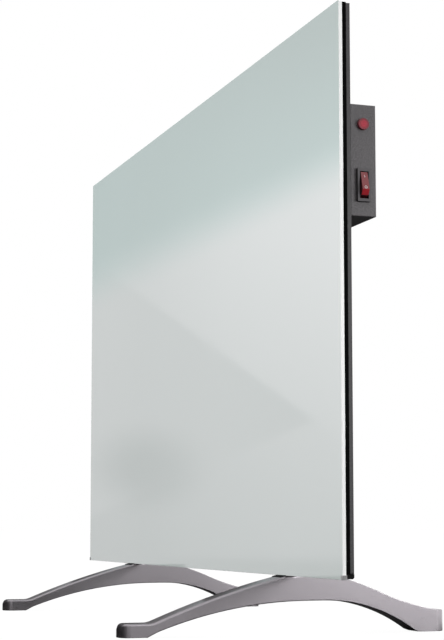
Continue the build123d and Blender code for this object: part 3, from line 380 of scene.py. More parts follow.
slotLooks = {
    "heating_film": {
        "colour": (0.03, 0.03, 0.035), "fleck": (0.07, 0.07, 0.08), "rough": (0.5, 0.7),
        "grain": "grain", "scale": 900.0, "bump": 0.2, "depth": 0.05 * mm,
    },
    "copper": {
        "colour": (0.72, 0.36, 0.22), "fleck": (0.60, 0.27, 0.15), "rough": (0.25, 0.42),
        "grain": "brushed", "scale": 2500.0, "bump": 0.15, "depth": 0.03 * mm, "metallic": 1.0,
    },
    "foil": {
        "colour": (0.86, 0.87, 0.88), "fleck": (0.74, 0.75, 0.76), "rough": (0.15, 0.35),
        "grain": "cast", "scale": 1600.0, "bump": 0.3, "depth": 0.1 * mm, "metallic": 1.0,
    },
    "insulation": {
        "colour": (0.80, 0.77, 0.66), "fleck": (0.62, 0.58, 0.46), "rough": (0.85, 1.0),
        "grain": "grain", "scale": 700.0, "bump": 0.6, "depth": 0.4 * mm,
    },
    "seal_rubber": {
        "colour": (0.002, 0.002, 0.002), "fleck": (0.004, 0.004, 0.004), "rough": (0.7, 0.95),
        "grain": "grain", "scale": 1300.0, "bump": 0.4, "depth": 0.1 * mm, "gleam": 0.015,
    },
    "tray_paint": {
        "colour": (0.033, 0.031, 0.034), "fleck": (0.060, 0.058, 0.060), "rough": (0.42, 0.62),
        "grain": "powder", "scale": 850.0, "bump": 0.35, "depth": 0.08 * mm, "gleam": 0.4,
        "worn": (0.20, 0.20, 0.20), "wornRadius": 0.4 * mm, "dust": 0.35,
    },
    "strip_rubber": {
        "colour": (0.004, 0.004, 0.004), "fleck": (0.010, 0.010, 0.010), "rough": (0.55, 0.8),
        "grain": "grain", "scale": 1100.0, "bump": 0.3, "depth": 0.08 * mm, "gleam": 0.08,
    },
    "clip_grey": {
        "colour": (0.20, 0.20, 0.20), "fleck": (0.27, 0.27, 0.27), "rough": (0.45, 0.6),
        "grain": "grain", "scale": 1800.0, "bump": 0.2, "depth": 0.04 * mm,
    },
    "zinc_steel": {
        "colour": (0.60, 0.60, 0.58), "fleck": (0.42, 0.42, 0.43), "rough": (0.28, 0.45),
        "grain": "cast", "scale": 5200.0, "bump": 0.15, "depth": 0.04 * mm, "metallic": 1.0,
        "worn": (0.72, 0.72, 0.70), "wornRadius": 0.15 * mm,
    },
    "pad_rubber": {
        "colour": (0.004, 0.004, 0.004), "fleck": (0.009, 0.009, 0.009), "rough": (0.6, 0.85),
        "grain": "grain", "scale": 1200.0, "bump": 0.3, "depth": 0.08 * mm, "gleam": 0.04,
    },
    "rivet_aluminium": {
        "colour": (0.78, 0.78, 0.79), "fleck": (0.66, 0.66, 0.68), "rough": (0.3, 0.45),
        "grain": "cast", "scale": 5200.0, "bump": 0.15, "depth": 0.04 * mm, "metallic": 1.0,
    },
    "box_paint": {
        "colour": (0.036, 0.031, 0.035), "fleck": (0.130, 0.124, 0.130), "rough": (0.45, 0.65),
        "grain": "powder", "scale": 620.0, "bump": 0.5, "depth": 0.12 * mm,
        "worn": (0.24, 0.24, 0.24), "wornRadius": 0.5 * mm, "dust": 0.4,
    },
    "white_plastic": {
        "colour": (0.78, 0.76, 0.70), "fleck": (0.72, 0.69, 0.62), "rough": (0.35, 0.5),
        "grain": "grain", "scale": 1600.0, "bump": 0.1, "depth": 0.04 * mm,
    },
    "brass": {
        "colour": (0.72, 0.53, 0.24), "fleck": (0.60, 0.42, 0.17), "rough": (0.25, 0.4),
        "grain": "brushed", "scale": 2800.0, "bump": 0.12, "depth": 0.03 * mm, "metallic": 1.0,
    },
    "gland_plastic": {
        "colour": (0.016, 0.016, 0.017), "fleck": (0.030, 0.030, 0.032), "rough": (0.35, 0.5),
        "grain": "grain", "scale": 1500.0, "bump": 0.2, "depth": 0.05 * mm,
        "worn": (0.07, 0.07, 0.07), "wornRadius": 0.3 * mm,
    },
    "wire_silicone": {
        "colour": (0.72, 0.70, 0.65), "fleck": (0.64, 0.61, 0.55), "rough": (0.45, 0.6),
        "grain": "grain", "scale": 1500.0, "bump": 0.1, "depth": 0.04 * mm,
    },
    "foot_paint": {
        "colour": (0.414, 0.387, 0.412), "fleck": (0.346, 0.322, 0.345), "rough": (0.32, 0.42),
        "grain": "cast", "scale": 2600.0, "bump": 0.12, "depth": 0.25 * mm, "metallic": 1.0,
        "worn": (0.40, 0.39, 0.40), "wornRadius": 0.8 * mm, "dust": 0.15,
    },
}
finishes = {name: makeFinish(name, look) for name, look in slotLooks.items()}


# Glass: pale tint behind a clear gloss, white ground edges
glassLook = {
    "front": (0.44, 0.48, 0.47),
    "edge": (0.97, 0.975, 0.97),
    "edgeGrain": (0.93, 0.945, 0.94),
    "gloss": (0.035, 0.075),
    "ior": 1.6,
    "edgeTurn": (0.9, 0.85),  # depthwise part of the normal, from sheet to edge
    "clouds": (2.2, 3.0),
    "paler": 1.03,
    "edgeGrains": (900.0, 3.0),
    "smudges": (7.0, 6.0),
    "smudgeShades": (0.45, 0.7),
    "edgeRough": 0.3,
    "rollPull": (1.0, 1.0, 0.35),
    "rolls": (9.0, 1.0),
    "wave": 0.02,
    "waveDepth": 1.0 * mm,
}


def makeGlass(look):
    material, tree, shader = startMaterial("coated_glass")
    point = objectPoint(tree)
    facing = addNode(tree, "NewGeometry", {}).outputs["True Normal"]
    depthwise = sums(tree, "ABSOLUTE", addNode(tree, "SeparateXYZ", {0: facing}).outputs["Y"])
    onEdge = stretch(tree, depthwise, *look["edgeTurn"])
    clouds = noise(tree, point, *look["clouds"])
    paler = rgb(*(value * look["paler"] for value in look["front"]))
    sheet = mixColours(tree, clouds, rgb(*look["front"]), paler)
    specks = noise(tree, point, *look["edgeGrains"])
    ground = mixColours(tree, specks, rgb(*look["edge"]), rgb(*look["edgeGrain"]))
    feed(tree, shader["Base Color"], mixColours(tree, onEdge, sheet, ground))
    smears = noise(tree, point, *look["smudges"])
    smudges = stretch(tree, smears, *look["smudgeShades"], *look["gloss"])
    feed(tree, shader["Roughness"], sums(tree, "MULTIPLY_ADD", onEdge, look["edgeRough"], smudges))
    shader["IOR"].default_value = look["ior"]
    rolled = addNode(tree, "Mapping", {"Vector": point, "Scale": look["rollPull"]}).outputs[0]
    height = noise(tree, rolled, *look["rolls"])
    wave = {"Height": height, "Strength": look["wave"], "Distance": look["waveDepth"]}
    feed(tree, shader["Normal"], addNode(tree, "Bump", wave).outputs[0])
    return material


finishes["coated_glass"] = makeGlass(glassLook)


# Lamp lens: deep red with a painted glow, bright in the middle and darker and paler towards the rim
lampLook = {
    # painted glow: the centre colour is bright red, the rim colour darker
    "glowCentre": (0.40, 0.022, 0.045),
    "rim": (0.15, 0.02, 0.03),
    "rimShadeStart": 2.2 * mm,
    "gloss": 0.34,
    "glossSpread": 0.1,
    "grain": 1400.0,
    "gleam": 0.3,
    "glow": 0.25,
    "glowReach": (2.0 * mm, 0.3 * mm, 0.3 * mm),
    "bump": 0.05,
    "bumpDepth": 0.05 * mm,
    "face": 3.0 * mm,
    "radius": 6.2 * mm,
    "edgeRound": 0.4 * mm,
    "stemRadius": 3.95 * mm,
    "stemLength": 7.0 * mm,
    "ringStep": 1.15 * mm,
    "ringDepth": 0.12 * mm,
    "ringWall": 0.1 * mm,
    "frontReach": 0.01 * mm,
    "sides": 64,
}


def makeLampRed(look, axisPoint):
    material, tree, shader = startMaterial("lamp_red")
    aside = addNode(tree, "VectorMath", {0: objectPoint(tree), 1: axisPoint}, operation="SUBTRACT")
    flat = addNode(tree, "VectorMath", {0: aside.outputs[0], 1: (0, 1, 1)}, operation="MULTIPLY")
    reach = addNode(tree, "VectorMath", {0: flat.outputs[0]}, operation="LENGTH").outputs["Value"]
    # painted glow: the lens darkens from its bright centre towards the rim
    outward = stretch(tree, reach, look["rimShadeStart"], look["radius"], kind="SMOOTHSTEP")
    grain = placeGroup(tree, grains["grain"], Scale=look["grain"])
    tone = mixColours(tree, outward, rgb(*look["glowCentre"]), rgb(*look["rim"]))
    feed(tree, shader["Base Color"], tone)
    dullest = look["gloss"] + look["glossSpread"]
    feed(tree, shader["Roughness"], stretch(tree, grain["Shade"], 0, 1, look["gloss"], dullest))
    shader["Specular IOR Level"].default_value = look["gleam"]
    shader["Subsurface Weight"].default_value = look["glow"]
    shader["Subsurface Radius"].default_value = look["glowReach"]
    shader["Subsurface Scale"].default_value = 1.0
    bumpInputs = {
        "Height": grain["Height"], "Strength": look["bump"], "Distance": look["bumpDepth"],
    }
    feed(tree, shader["Normal"], addNode(tree, "Bump", bumpInputs).outputs[0])
    return material


# Switch: glossy red rocker in a black housing. The rocker's faces carry painted light and shade, and the bezel
# face is painted grey as a reflection on its black plastic
switchLook = {
    "upperFaceShadeRed": (0.19, 0.008, 0.014),  # the upper face, painted darker than the lower one as shade on the same red plastic
    # painted light: the lower face is coloured lighter than the upper one, for the light it catches
    "lowerFaceLitRed": (0.46, 0.020, 0.032),
    # painted shadow: the rocker's side walls and the skirt deep in the window are coloured near-black red
    "sideAndSkirtShadowRed": (0.05, 0.002, 0.004),
    "deepen": (0.74, 0.7, 0.7),
    "creaseDrop": 5.3 * mm,  # from the middle of the bezel
    "skirtShadowDrop": 10.9 * mm,
    "creaseBlend": 0.2 * mm,
    "skirtShadowBlend": 0.3 * mm,
    "sideShadeTurn": (0.6, 0.9),
    "wornRed": (0.4, 0.12, 0.13),
    "wornRadius": 0.4 * mm,
    "coat": 0.8,
    "coatRoughness": 0.12,
    "grain": 900.0,
    "bump": 0.06,
    "bumpDepth": 0.06 * mm,
    "gloss": (0.14, 0.24),
    # painted reflection: the bezel's front face is coloured grey, standing in for the bright room its black
    # plastic mirrors
    "bezelSheenGrey": (0.105, 0.10, 0.105),
    "bezelSheenFleck": (0.12, 0.115, 0.12),
    "bezelBlack": (0.002, 0.002, 0.002),
    "bezelBlackFleck": (0.004, 0.004, 0.004),
    "bezelSheenDepths": (0.25 * mm, 0.05 * mm),  # below the face, from black to the painted reflection grey
    "bezelRough": (0.4, 0.55),
    "bezelGleam": 0.06,
    "bezelGrain": 1900.0,
    "bezelBump": 0.15,
    "bezelBumpDepth": 0.05 * mm,
    "bezelRound": 0.3 * mm,
    "bezelReach": 0.01 * mm,
    "rockerRound": 0.45 * mm,
    "rockerSharp": 50,
    "rockerRoot": 1 * mm,  # edges nearer the pivot stay as they are
    "tilt": 16.0,
    "faceReach": 10.0 * mm,
    "markReach": 6.2 * mm,
    "markLength": 3.0 * mm,
    "markWidth": 0.55 * mm,
    "ringRadius": 1.55 * mm,
    "markSink": 0.05 * mm,
    "markProud": 0.04 * mm,
    "barRound": 0.2 * mm,
    "ringSides": 48,
}
printLook = {
    "white": (0.62, 0.55, 0.55),
    "fleck": (0.50, 0.42, 0.42),
    "rough": (0.35, 0.55),
    "grain": 2400.0,
}


def makeRockerRed(look, middleZ):
    material, tree, shader = startMaterial("rocker_red")
    grain = placeGroup(tree, grains["grain"], Scale=look["grain"])
    height = addNode(tree, "SeparateXYZ", {0: objectPoint(tree)}).outputs["Z"]
    facing = addNode(tree, "NewGeometry", {}).outputs["True Normal"]
    aside = sums(tree, "ABSOLUTE", addNode(tree, "SeparateXYZ", {0: facing}).outputs["Y"])
    creaseZ = middleZ - look["creaseDrop"]
    skirtZ = middleZ - look["skirtShadowDrop"]
    # painted light and shade: faces above the crease get the darker upper red, faces below it the lighter lower
    # red
    above = stretch(tree, height, creaseZ - look["creaseBlend"], creaseZ + look["creaseBlend"])
    # painted shadow: the skirt below the face and the side walls are coloured near-black red
    skirtShadowMask = stretch(tree, height, skirtZ, skirtZ - look["skirtShadowBlend"])
    sideAndSkirtShadowMask = sums(tree, "MAXIMUM", stretch(tree, aside, *look["sideShadeTurn"]), skirtShadowMask)
    faces = mixColours(tree, above, rgb(*look["lowerFaceLitRed"]), rgb(*look["upperFaceShadeRed"]))
    deeper = mixColours(tree, grain["Shade"], rgb(1, 1, 1), rgb(*look["deepen"]))
    tone = mixColours(tree, 1.0, faces, deeper, "MULTIPLY")
    wear = placeGroup(tree, edgeWear, Radius=look["wornRadius"])["Mask"]
    worn = mixColours(tree, wear, tone, rgb(*look["wornRed"]))
    feed(tree, shader["Base Color"], mixColours(tree, sideAndSkirtShadowMask, worn, rgb(*look["sideAndSkirtShadowRed"])))
    feed(tree, shader["Roughness"], stretch(tree, grain["Shade"], 0, 1, *look["gloss"]))
    shader["Coat Weight"].default_value = look["coat"]
    shader["Coat Roughness"].default_value = look["coatRoughness"]
    bumpInputs = {
        "Height": grain["Height"], "Strength": look["bump"], "Distance": look["bumpDepth"],
    }
    feed(tree, shader["Normal"], addNode(tree, "Bump", bumpInputs).outputs[0])
    return material


def makeSwitchBlack(look, faceX):
    material, tree, shader = startMaterial("switch_black")
    grain = placeGroup(tree, grains["grain"], Scale=look["bezelGrain"])
    along = addNode(tree, "SeparateXYZ", {0: objectPoint(tree)}).outputs["X"]
    # painted reflection: grey on the bezel's front face only, black on its sides and the rest of the housing
    onSheenFace = stretch(tree, along, *(faceX - depth for depth in look["bezelSheenDepths"]))
    body = mixColours(tree, grain["Shade"], rgb(*look["bezelBlack"]), rgb(*look["bezelBlackFleck"]))
    face = mixColours(tree, grain["Shade"], rgb(*look["bezelSheenGrey"]), rgb(*look["bezelSheenFleck"]))
    feed(tree, shader["Base Color"], mixColours(tree, onSheenFace, body, face))
    feed(tree, shader["Roughness"], stretch(tree, grain["Shade"], 0, 1, *look["bezelRough"]))
    shader["Specular IOR Level"].default_value = look["bezelGleam"]
    bumpInputs = {
        "Height": grain["Height"],
        "Strength": look["bezelBump"],
        "Distance": look["bezelBumpDepth"],
    }
    feed(tree, shader["Normal"], addNode(tree, "Bump", bumpInputs).outputs[0])
    return material


def makePrintWhite(look):
    material, tree, shader = startMaterial("printWhite")
    grain = placeGroup(tree, grains["grain"], Scale=look["grain"])
    tone = mixColours(tree, grain["Shade"], rgb(*look["white"]), rgb(*look["fleck"]))
    feed(tree, shader["Base Color"], tone)
    feed(tree, shader["Roughness"], stretch(tree, grain["Shade"], 0, 1, *look["rough"]))
    return material


lensLow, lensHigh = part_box("lamp_lens")
lampCentre = (lensLow + lensHigh) / 2
bezelLow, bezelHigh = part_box("switch_housing")
finishes["lamp_red"] = makeLampRed(lampLook, tuple(lampCentre))
finishes["rocker_red"] = makeRockerRed(switchLook, (bezelLow.z + bezelHigh.z) / 2)
finishes["switch_black"] = makeSwitchBlack(switchLook, bezelHigh.x)
printWhite = makePrintWhite(printLook)

nodeSlots = {row["node"]: row["material_slot"] for row in frame["record"]["subparts"]}
for nodeName, node in nodes.items():
    for place in node.material_slots:
        place.material = finishes[nodeSlots[nodeName]]
print("finishes made,", len(finishes))


# Feet: cast, with rounded edges everywhere but round the drilled holes
footLook = {
    "round": 2.4 * mm,  # along the front arm's top; the shares below are for the other edges
    "archShare": 0.45,
    "rearShare": 0.2,
    "soleShare": 0.2,
    "segments": 4,
    "toeReach": 14.0 * mm,
    "soleReach": 1.5 * mm,
    "topSlope": 0.3,  # upward part of the normal of a face that belongs to the top
}


def makeFoot(side, look):
    nodeName = "foot_" + side
    low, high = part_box(nodeName)
    inset = (high.x - low.x) / 2 - look["round"] * 2
    centreX = (low.x + high.x) / 2
    foot = mergedCopy(nodeName, side + "Foot")
    startEdit(foot)
    mesh = bmesh.from_edit_mesh(foot.data)
    weights = mesh.edges.layers.float.new("bevel_weight_edge")
    for edge in mesh.edges:
        spot = middle(edge)
        nearToe = min(spot.y - low.y, high.y - spot.y) < look["toeReach"]
        if not isSharp(edge) or (abs(spot.x - centreX) < inset and not nearToe):
            continue
        onTop = max(face.normal.z for face in edge.link_faces) > look["topSlope"]
        if spot.z < low.z + look["soleReach"]:
            edge[weights] = look["soleShare"]
        elif not onTop:
            edge[weights] = look["archShare"]
        else:
            edge[weights] = 1.0 if spot.y < 0 else look["rearShare"]
    endEdit()
    rounding = foot.modifiers.new("rounding", "BEVEL")
    rounding.limit_method = "WEIGHT"
    rounding.width = look["round"]
    rounding.segments = look["segments"]
    rounding.use_clamp_overlap = False
    applyAll(foot)
    smooth(foot, broadAngle)
    dress(foot, finishes["foot_paint"], "heater", "foot_paint", nodeName)


for side in ("right", "left"):
    makeFoot(side, footLook)
print("feet cast")


# Plain nodes with their sharp edges broken: brackets, clips and rubber pads
brokenEdges = {
    "foot_bracket_right": ("rightBracket", 0.35 * mm),
    "foot_bracket_left": ("leftBracket", 0.35 * mm),
    "edge_clips": ("glassClips", 0.12 * mm),
    "saddle_pads": ("saddles", 0.2 * mm),
    "floor_pads": ("soles", 0.3 * mm),
    "gland_body": ("glandHexagon", 0.35 * mm),
}


def breakEdges(nodeName, pieceName, width):
    piece = mergedCopy(nodeName, pieceName)
    bevelPicked(piece, width, 2, isSharp)
    smooth(piece)
    slotName = nodeSlots[nodeName]
    dress(piece, finishes[slotName], "heater", slotName, nodeName)


for nodeName, (pieceName, width) in brokenEdges.items():
    breakEdges(nodeName, pieceName, width)
print("edges broken")


# Tray and cover: folded sheet with rounded corners where two flanges meet
foldLook = {"back_tray": ("backTray", 1.2 * mm), "box_cover": ("boxCover", 0.8 * mm)}
cornerReach = 0.1 * mm


def foldCorners(nodeName, pieceName, width):
    low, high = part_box(nodeName)
    piece = mergedCopy(nodeName, pieceName)

    def isCorner(edge):
        spot = middle(edge)
        outX = min(spot.x - low.x, high.x - spot.x) < cornerReach
        outZ = min(spot.z - low.z, high.z - spot.z) < cornerReach
        return runsAlong(edge, 1) and outX and outZ

    bevelPicked(piece, width, 3, isCorner)
    smooth(piece, fineAngle)
    slotName = nodeSlots[nodeName]
    dress(piece, finishes[slotName], "heater", slotName, nodeName)


for nodeName, (pieceName, width) in foldLook.items():
    foldCorners(nodeName, pieceName, width)
print("sheet metal folded")


# Lamp lens: a turned disc with shallow rings under its rim, and its stem
def makeLens(look):
    front = lensHigh.x
    bpy.ops.object.select_all(action="DESELECT")
    bpy.ops.mesh.primitive_cylinder_add(
        vertices=look["sides"],
        radius=look["radius"],
        depth=look["face"],
        location=(front - look["face"] / 2, lampCentre.y, lampCentre.z),
        rotation=(0, math.radians(90), 0),
    )
    lens = bpy.context.active_object
    lens.name = "lampDome"
    settle(lens)
    startEdit(lens)
    pick(lens, "FACE", lambda face: face.normal.x < -mostly)
    bpy.ops.mesh.inset(thickness=look["radius"] - look["stemRadius"])
    bpy.ops.mesh.extrude_region_move(TRANSFORM_OT_translate={"value": (-look["stemLength"], 0, 0)})
    rim = front - look["frontReach"]
    pick(lens, "EDGE", lambda edge: all(vert.co.x > rim for vert in edge.verts))
    bpy.ops.mesh.bevel(offset=look["edgeRound"], segments=4, affect="EDGES")

    def isDisc(face):
        return face.normal.x > squarely and len(face.verts) == look["sides"]

    for depth in (-1, 1, -1, 1):
        pick(lens, "FACE", isDisc)
        bpy.ops.mesh.inset(thickness=look["ringStep"])
        bpy.ops.mesh.inset(thickness=look["ringWall"])
        step = depth * look["ringDepth"]
        bpy.ops.transform.translate(value=(step, 0, 0))
    endEdit()
    smooth(lens, fineAngle)
    dress(lens, finishes["lamp_red"], "heater", "lamp_red", "lamp_lens")


makeLens(lampLook)


# Switch housing and rocker, with moulded edges, and the rocker's two printed marks
def makeSwitch(look):
    pivot = Vector(frame["joints"][0]["pos_m"])

    def onBezel(edge):
        return isSharp(edge) and middle(edge).x > bezelHigh.x - look["bezelReach"]

    def onCap(edge):
        return isSharp(edge, look["rockerSharp"]) and middle(edge).x > pivot.x + look["rockerRoot"]

    housing = mergedCopy("switch_housing", "switchFrame")
    bevelPicked(housing, look["bezelRound"], 3, onBezel)
    smooth(housing, fineAngle)
    dress(housing, finishes["switch_black"], "heater", "switch_black", "switch_housing")
    rocker = mergedCopy("switch_rocker", "rockerCap")
    bevelPicked(rocker, look["rockerRound"], 3, onCap)
    smooth(rocker, fineAngle)
    dress(rocker, finishes["rocker_red"], "rocker", "rocker_red", "switch_rocker")


def placeMark(mark, name, reach, look):
    tilt = math.radians(look["tilt"])
    outward = Vector((math.cos(tilt), 0, math.sin(tilt)))
    upward = Vector((-math.sin(tilt), 0, math.cos(tilt)))
    pivot = Vector(frame["joints"][0]["pos_m"])
    mark.name = name
    mark.location = pivot + outward * (look["faceReach"] - look["markSink"]) + upward * reach
    mark.rotation_euler = (0, math.radians(90) - tilt, 0)
    settle(mark)
    smooth(mark, fineAngle)
    mark.data.materials.append(printWhite)
    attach(mark, "rocker")


def raiseMark(look):
    bpy.ops.mesh.select_all(action="SELECT")
    height = look["markSink"] + look["markProud"]
    bpy.ops.mesh.extrude_region_move(TRANSFORM_OT_translate={"value": (0, 0, height)})
    bpy.ops.mesh.select_all(action="SELECT")
    bpy.ops.mesh.normals_make_consistent(inside=False)
    endEdit()


def makeMarks(look):
    bpy.ops.object.select_all(action="DESELECT")
    bpy.ops.mesh.primitive_plane_add(size=1)
    bar = bpy.context.active_object
    bar.scale = (look["markLength"], look["markWidth"], 1)
    settle(bar)
    startEdit(bar)
    pick(bar, "VERT", lambda vert: True)
    bpy.ops.mesh.bevel(offset=look["barRound"], segments=3, affect="VERTICES")
    raiseMark(look)
    placeMark(bar, "onMark", look["markReach"], look)
    bpy.ops.object.select_all(action="DESELECT")
    bpy.ops.mesh.primitive_circle_add(
        vertices=look["ringSides"], radius=look["ringRadius"], fill_type="NGON"
    )
    ring = bpy.context.active_object
    startEdit(ring)
    bpy.ops.mesh.select_mode(type="FACE")
    bpy.ops.mesh.select_all(action="SELECT")
    bpy.ops.mesh.inset(thickness=look["markWidth"])
    bpy.ops.mesh.delete(type="FACE")
    raiseMark(look)
    placeMark(ring, "offMark", -look["markReach"], look)


makeSwitch(switchLook)
makeMarks(switchLook)
print("lamp and switch made")


# Gland nut: grip flutes sunk into the copied dome
glandLook = {
    "flutes": 12,
    "fluteShare": 0.42,
    "fluteDepth": 0.45 * mm,
    "fluteInset": 0.25 * mm,
    "rimShare": 0.97,
    "rimSlope": 0.1,
}


def makeGlandNut(look):
    low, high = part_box("gland_dome")
    centre = (low + high) / 2
    radius = (high.x - low.x) / 2
    dome = mergedCopy("gland_dome", "glandDome")
    turn = 2 * math.pi / look["flutes"]

    def onFlute(face):
        spot = face.calc_center_median() - centre
        onRim = math.hypot(spot.x, spot.y) > radius * look["rimShare"]
        outside = onRim and abs(face.normal.z) < look["rimSlope"]
        angle = math.atan2(spot.y, spot.x) / turn
        return outside and abs(angle - round(angle)) < look["fluteShare"] / 2

    startEdit(dome)
    pick(dome, "FACE", onFlute)
    bpy.ops.mesh.inset(thickness=look["fluteInset"], depth=-look["fluteDepth"])
    endEdit()
    smooth(dome, broadAngle)
    dress(dome, finishes["gland_plastic"], "heater", "gland_plastic", "gland_dome")


makeGlandNut(glandLook)


# Screws: a rounded head with a hexagon socket, modelled once and copied to each place
screwLook = {  # shares are of the thread's radius, unless they name the head
    "headRadius": 1.8,
    "headHeight": 0.9,
    "shank": 0.98,
    "headRound": 0.6,  # of the head's height
    "tipRound": 0.25,
    "socketRadius": 0.62,
    "socketRise": 0.9,  # of the head's height
    "endShare": 0.99,  # of a length, beyond which an edge lies at its end
    "sides": 40,
    "spotReach": 8 * mm,  # points nearer than this belong to one screw
    "firstTurn": 17,
    "nextTurn": 41,
}


def makeScrew(look, radius, length):
    headRadius = radius * look["headRadius"]
    headHeight = radius * look["headHeight"]
    bpy.ops.object.select_all(action="DESELECT")
    bpy.ops.mesh.primitive_cylinder_add(
        vertices=look["sides"], radius=headRadius, depth=headHeight, location=(0, 0, headHeight / 2)
    )
    screw = bpy.context.active_object
    settle(screw)
    startEdit(screw)
    pick(screw, "FACE", lambda face: face.normal.z < -mostly)
    bpy.ops.mesh.inset(thickness=headRadius - radius * look["shank"])
    bpy.ops.mesh.extrude_region_move(TRANSFORM_OT_translate={"value": (0, 0, -length)})
    crown = headHeight * look["endShare"]
    tip = -length * look["endShare"]
    pick(screw, "EDGE", lambda edge: isSharp(edge) and middle(edge).z > crown)
    bpy.ops.mesh.bevel(offset=headHeight * look["headRound"], segments=5, affect="EDGES")
    pick(screw, "EDGE", lambda edge: isSharp(edge) and middle(edge).z < tip)
    bpy.ops.mesh.bevel(offset=radius * look["tipRound"], segments=2, affect="EDGES")
    endEdit()
    bpy.ops.object.select_all(action="DESELECT")
    bpy.ops.mesh.primitive_cylinder_add(
        vertices=6,
        radius=radius * look["socketRadius"],
        depth=headHeight,
        location=(0, 0, headHeight * look["socketRise"]),
    )
    socket = bpy.context.active_object
    cut = screw.modifiers.new("socket", "BOOLEAN")
    cut.object = socket
    applyAll(screw)
    bpy.data.objects.remove(socket)
    return screw


def screwSpots(nodeName, axis, seat, reach):
    verts = [vert.co for vert in nodes[nodeName].data.vertices]
    others = [number for number in range(3) if number != axis]
    clusters = []
    for spot in verts:
        for cluster in clusters:
            if math.dist([spot[n] for n in others], cluster[0]) < reach:
                cluster[1].append(spot)
                break
        else:
            clusters.append(([spot[n] for n in others], [spot]))
    places = []
    for _, found in clusters:
        centre = [(min(co[n] for co in found) + max(co[n] for co in found)) / 2 for n in range(3)]
        centre[axis] = seat
        places.append(Vector(centre))
    return places


screwSets = {
    "cover_screws": ("coverScrews", 1, 1.5 * mm, 7.0 * mm),
    "bracket_panel_screws": ("bracketPanelScrews", 1, 2.0 * mm, 6.0 * mm),
    "bracket_foot_screws": ("bracketFootScrews", 2, 2.5 * mm, 14.0 * mm),
}


def makeScrewSet(look, nodeName, pieceName, axis, radius, length):
    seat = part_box(nodeName)[1][axis] - radius * look["headHeight"]
    turn = math.radians(-90) if axis == 1 else 0
    first = makeScrew(look, radius, length)
    copies = []
    for number, place in enumerate(screwSpots(nodeName, axis, seat, look["spotReach"])):
        screw = bpy.data.objects.new(pieceName + str(number), first.data.copy())
        bpy.context.collection.objects.link(screw)
        twistAngle = math.radians(look["firstTurn"] + look["nextTurn"] * number)
        twist = Matrix.Rotation(twistAngle, 4, "Z")
        screw.data.transform(Matrix.Translation(place) @ Matrix.Rotation(turn, 4, "X") @ twist)
        copies.append(screw)
    bpy.data.objects.remove(first)
    pickOnly(copies[0])
    for screw in copies:
        screw.select_set(True)
    bpy.ops.object.join()
    copies[0].name = pieceName
    smooth(copies[0], broadAngle)
    dress(copies[0], finishes["zinc_steel"], "heater", "zinc_steel", nodeName)


for nodeName, (pieceName, axis, radius, length) in screwSets.items():
    makeScrewSet(screwLook, nodeName, pieceName, axis, radius, length)
print("gland and screws made")


# Studio: floor, lamps, world, and cards that only the gloss sees

studioLook = {
    "floorSize": 60.0,
    "floorDrop": 0.4 * mm,
    "floorGlow": 0.97,
    "floorColour": 0.04,
    "ambient": 0.8,
}


def addRays(tree, *labels):
    path = addNode(tree, "LightPath", {}).outputs
    amount = path[labels[0]]
    for label in labels[1:]:
        amount = sums(tree, "MAXIMUM", amount, path[label])
    return amount


def makeWorld(look):
    world = bpy.data.worlds.new("studioWorld")
    scene.world = world
    world.use_nodes = True
    tree = world.node_tree
    tree.nodes.clear()
    ambient = addNode(tree, "Background", {"Color": rgb(1, 1, 1), "Strength": look["ambient"]})
    backdrop = addNode(tree, "Background", {"Color": rgb(1, 1, 1), "Strength": 1.0})
    seen = addRays(tree, "Is Camera Ray", "Is Glossy Ray", "Is Transmission Ray")
    mix = addNode(tree, "MixShader", {0: seen, 1: ambient.outputs[0], 2: backdrop.outputs[0]})
    addNode(tree, "OutputWorld", {"Surface": mix.outputs[0]})


def makeFloor(look):
    bpy.ops.object.select_all(action="DESELECT")
    bpy.ops.mesh.primitive_plane_add(size=look["floorSize"], location=(0, 0, -look["floorDrop"]))
    floor = bpy.context.active_object
    floor.name = "studioFloor"
    settle(floor)
    material = bpy.data.materials.new("floorPaper")
    material.use_nodes = True
    tree = material.node_tree
    tree.nodes.clear()
    grey = look["floorColour"]
    paper = addNode(tree, "BsdfDiffuse", {"Color": rgb(grey, grey, grey)}).outputs[0]
    glow = addNode(tree, "Emission", {"Strength": look["floorGlow"]}).outputs[0]
    lit = addNode(tree, "AddShader", {0: paper, 1: glow}).outputs[0]
    seen = addRays(tree, "Is Camera Ray", "Is Transmission Ray")
    shown = addNode(tree, "MixShader", {0: seen, 1: paper, 2: lit}).outputs[0]
    clear = addNode(tree, "BsdfTransparent", {}).outputs[0]
    fromBelow = addNode(tree, "NewGeometry", {}).outputs["Backfacing"]
    surface = addNode(tree, "MixShader", {0: fromBelow, 1: shown, 2: clear}).outputs[0]
    addNode(tree, "OutputMaterial", {"Surface": surface})
    floor.data.materials.append(material)


lampPlaces = {
    "frontSoftbox": {
        "place": (-0.4, -3.4, 2.2), "aim": (0, 0, 0.4),
        "size": 3.0, "power": 150.0, "mirrored": False,
    },
    "rightSoftbox": {
        "place": (1.45, 0.95, 0.5), "aim": (0.3, 0, 0.1),
        "size": 0.6, "power": 11.4, "mirrored": True,
    },
    "rearSoftbox": {
        "place": (-1.0, 3.2, 2.4), "aim": (0, 0, 0.4),
        "size": 2.6, "power": 60.0, "mirrored": False,
    },
}


def makeLamp(name, look):
    place = Vector(look["place"])
    facing = (Vector(look["aim"]) - place).to_track_quat("-Z", "Y").to_euler()
    bpy.ops.object.light_add(type="AREA", location=place, rotation=facing)
    lamp = bpy.context.active_object
    lamp.name = name
    lamp.visible_glossy = look["mirrored"]
    lamp.data.shape = "SQUARE"
    lamp.data.size = look["size"]
    lamp.data.energy = look["power"]


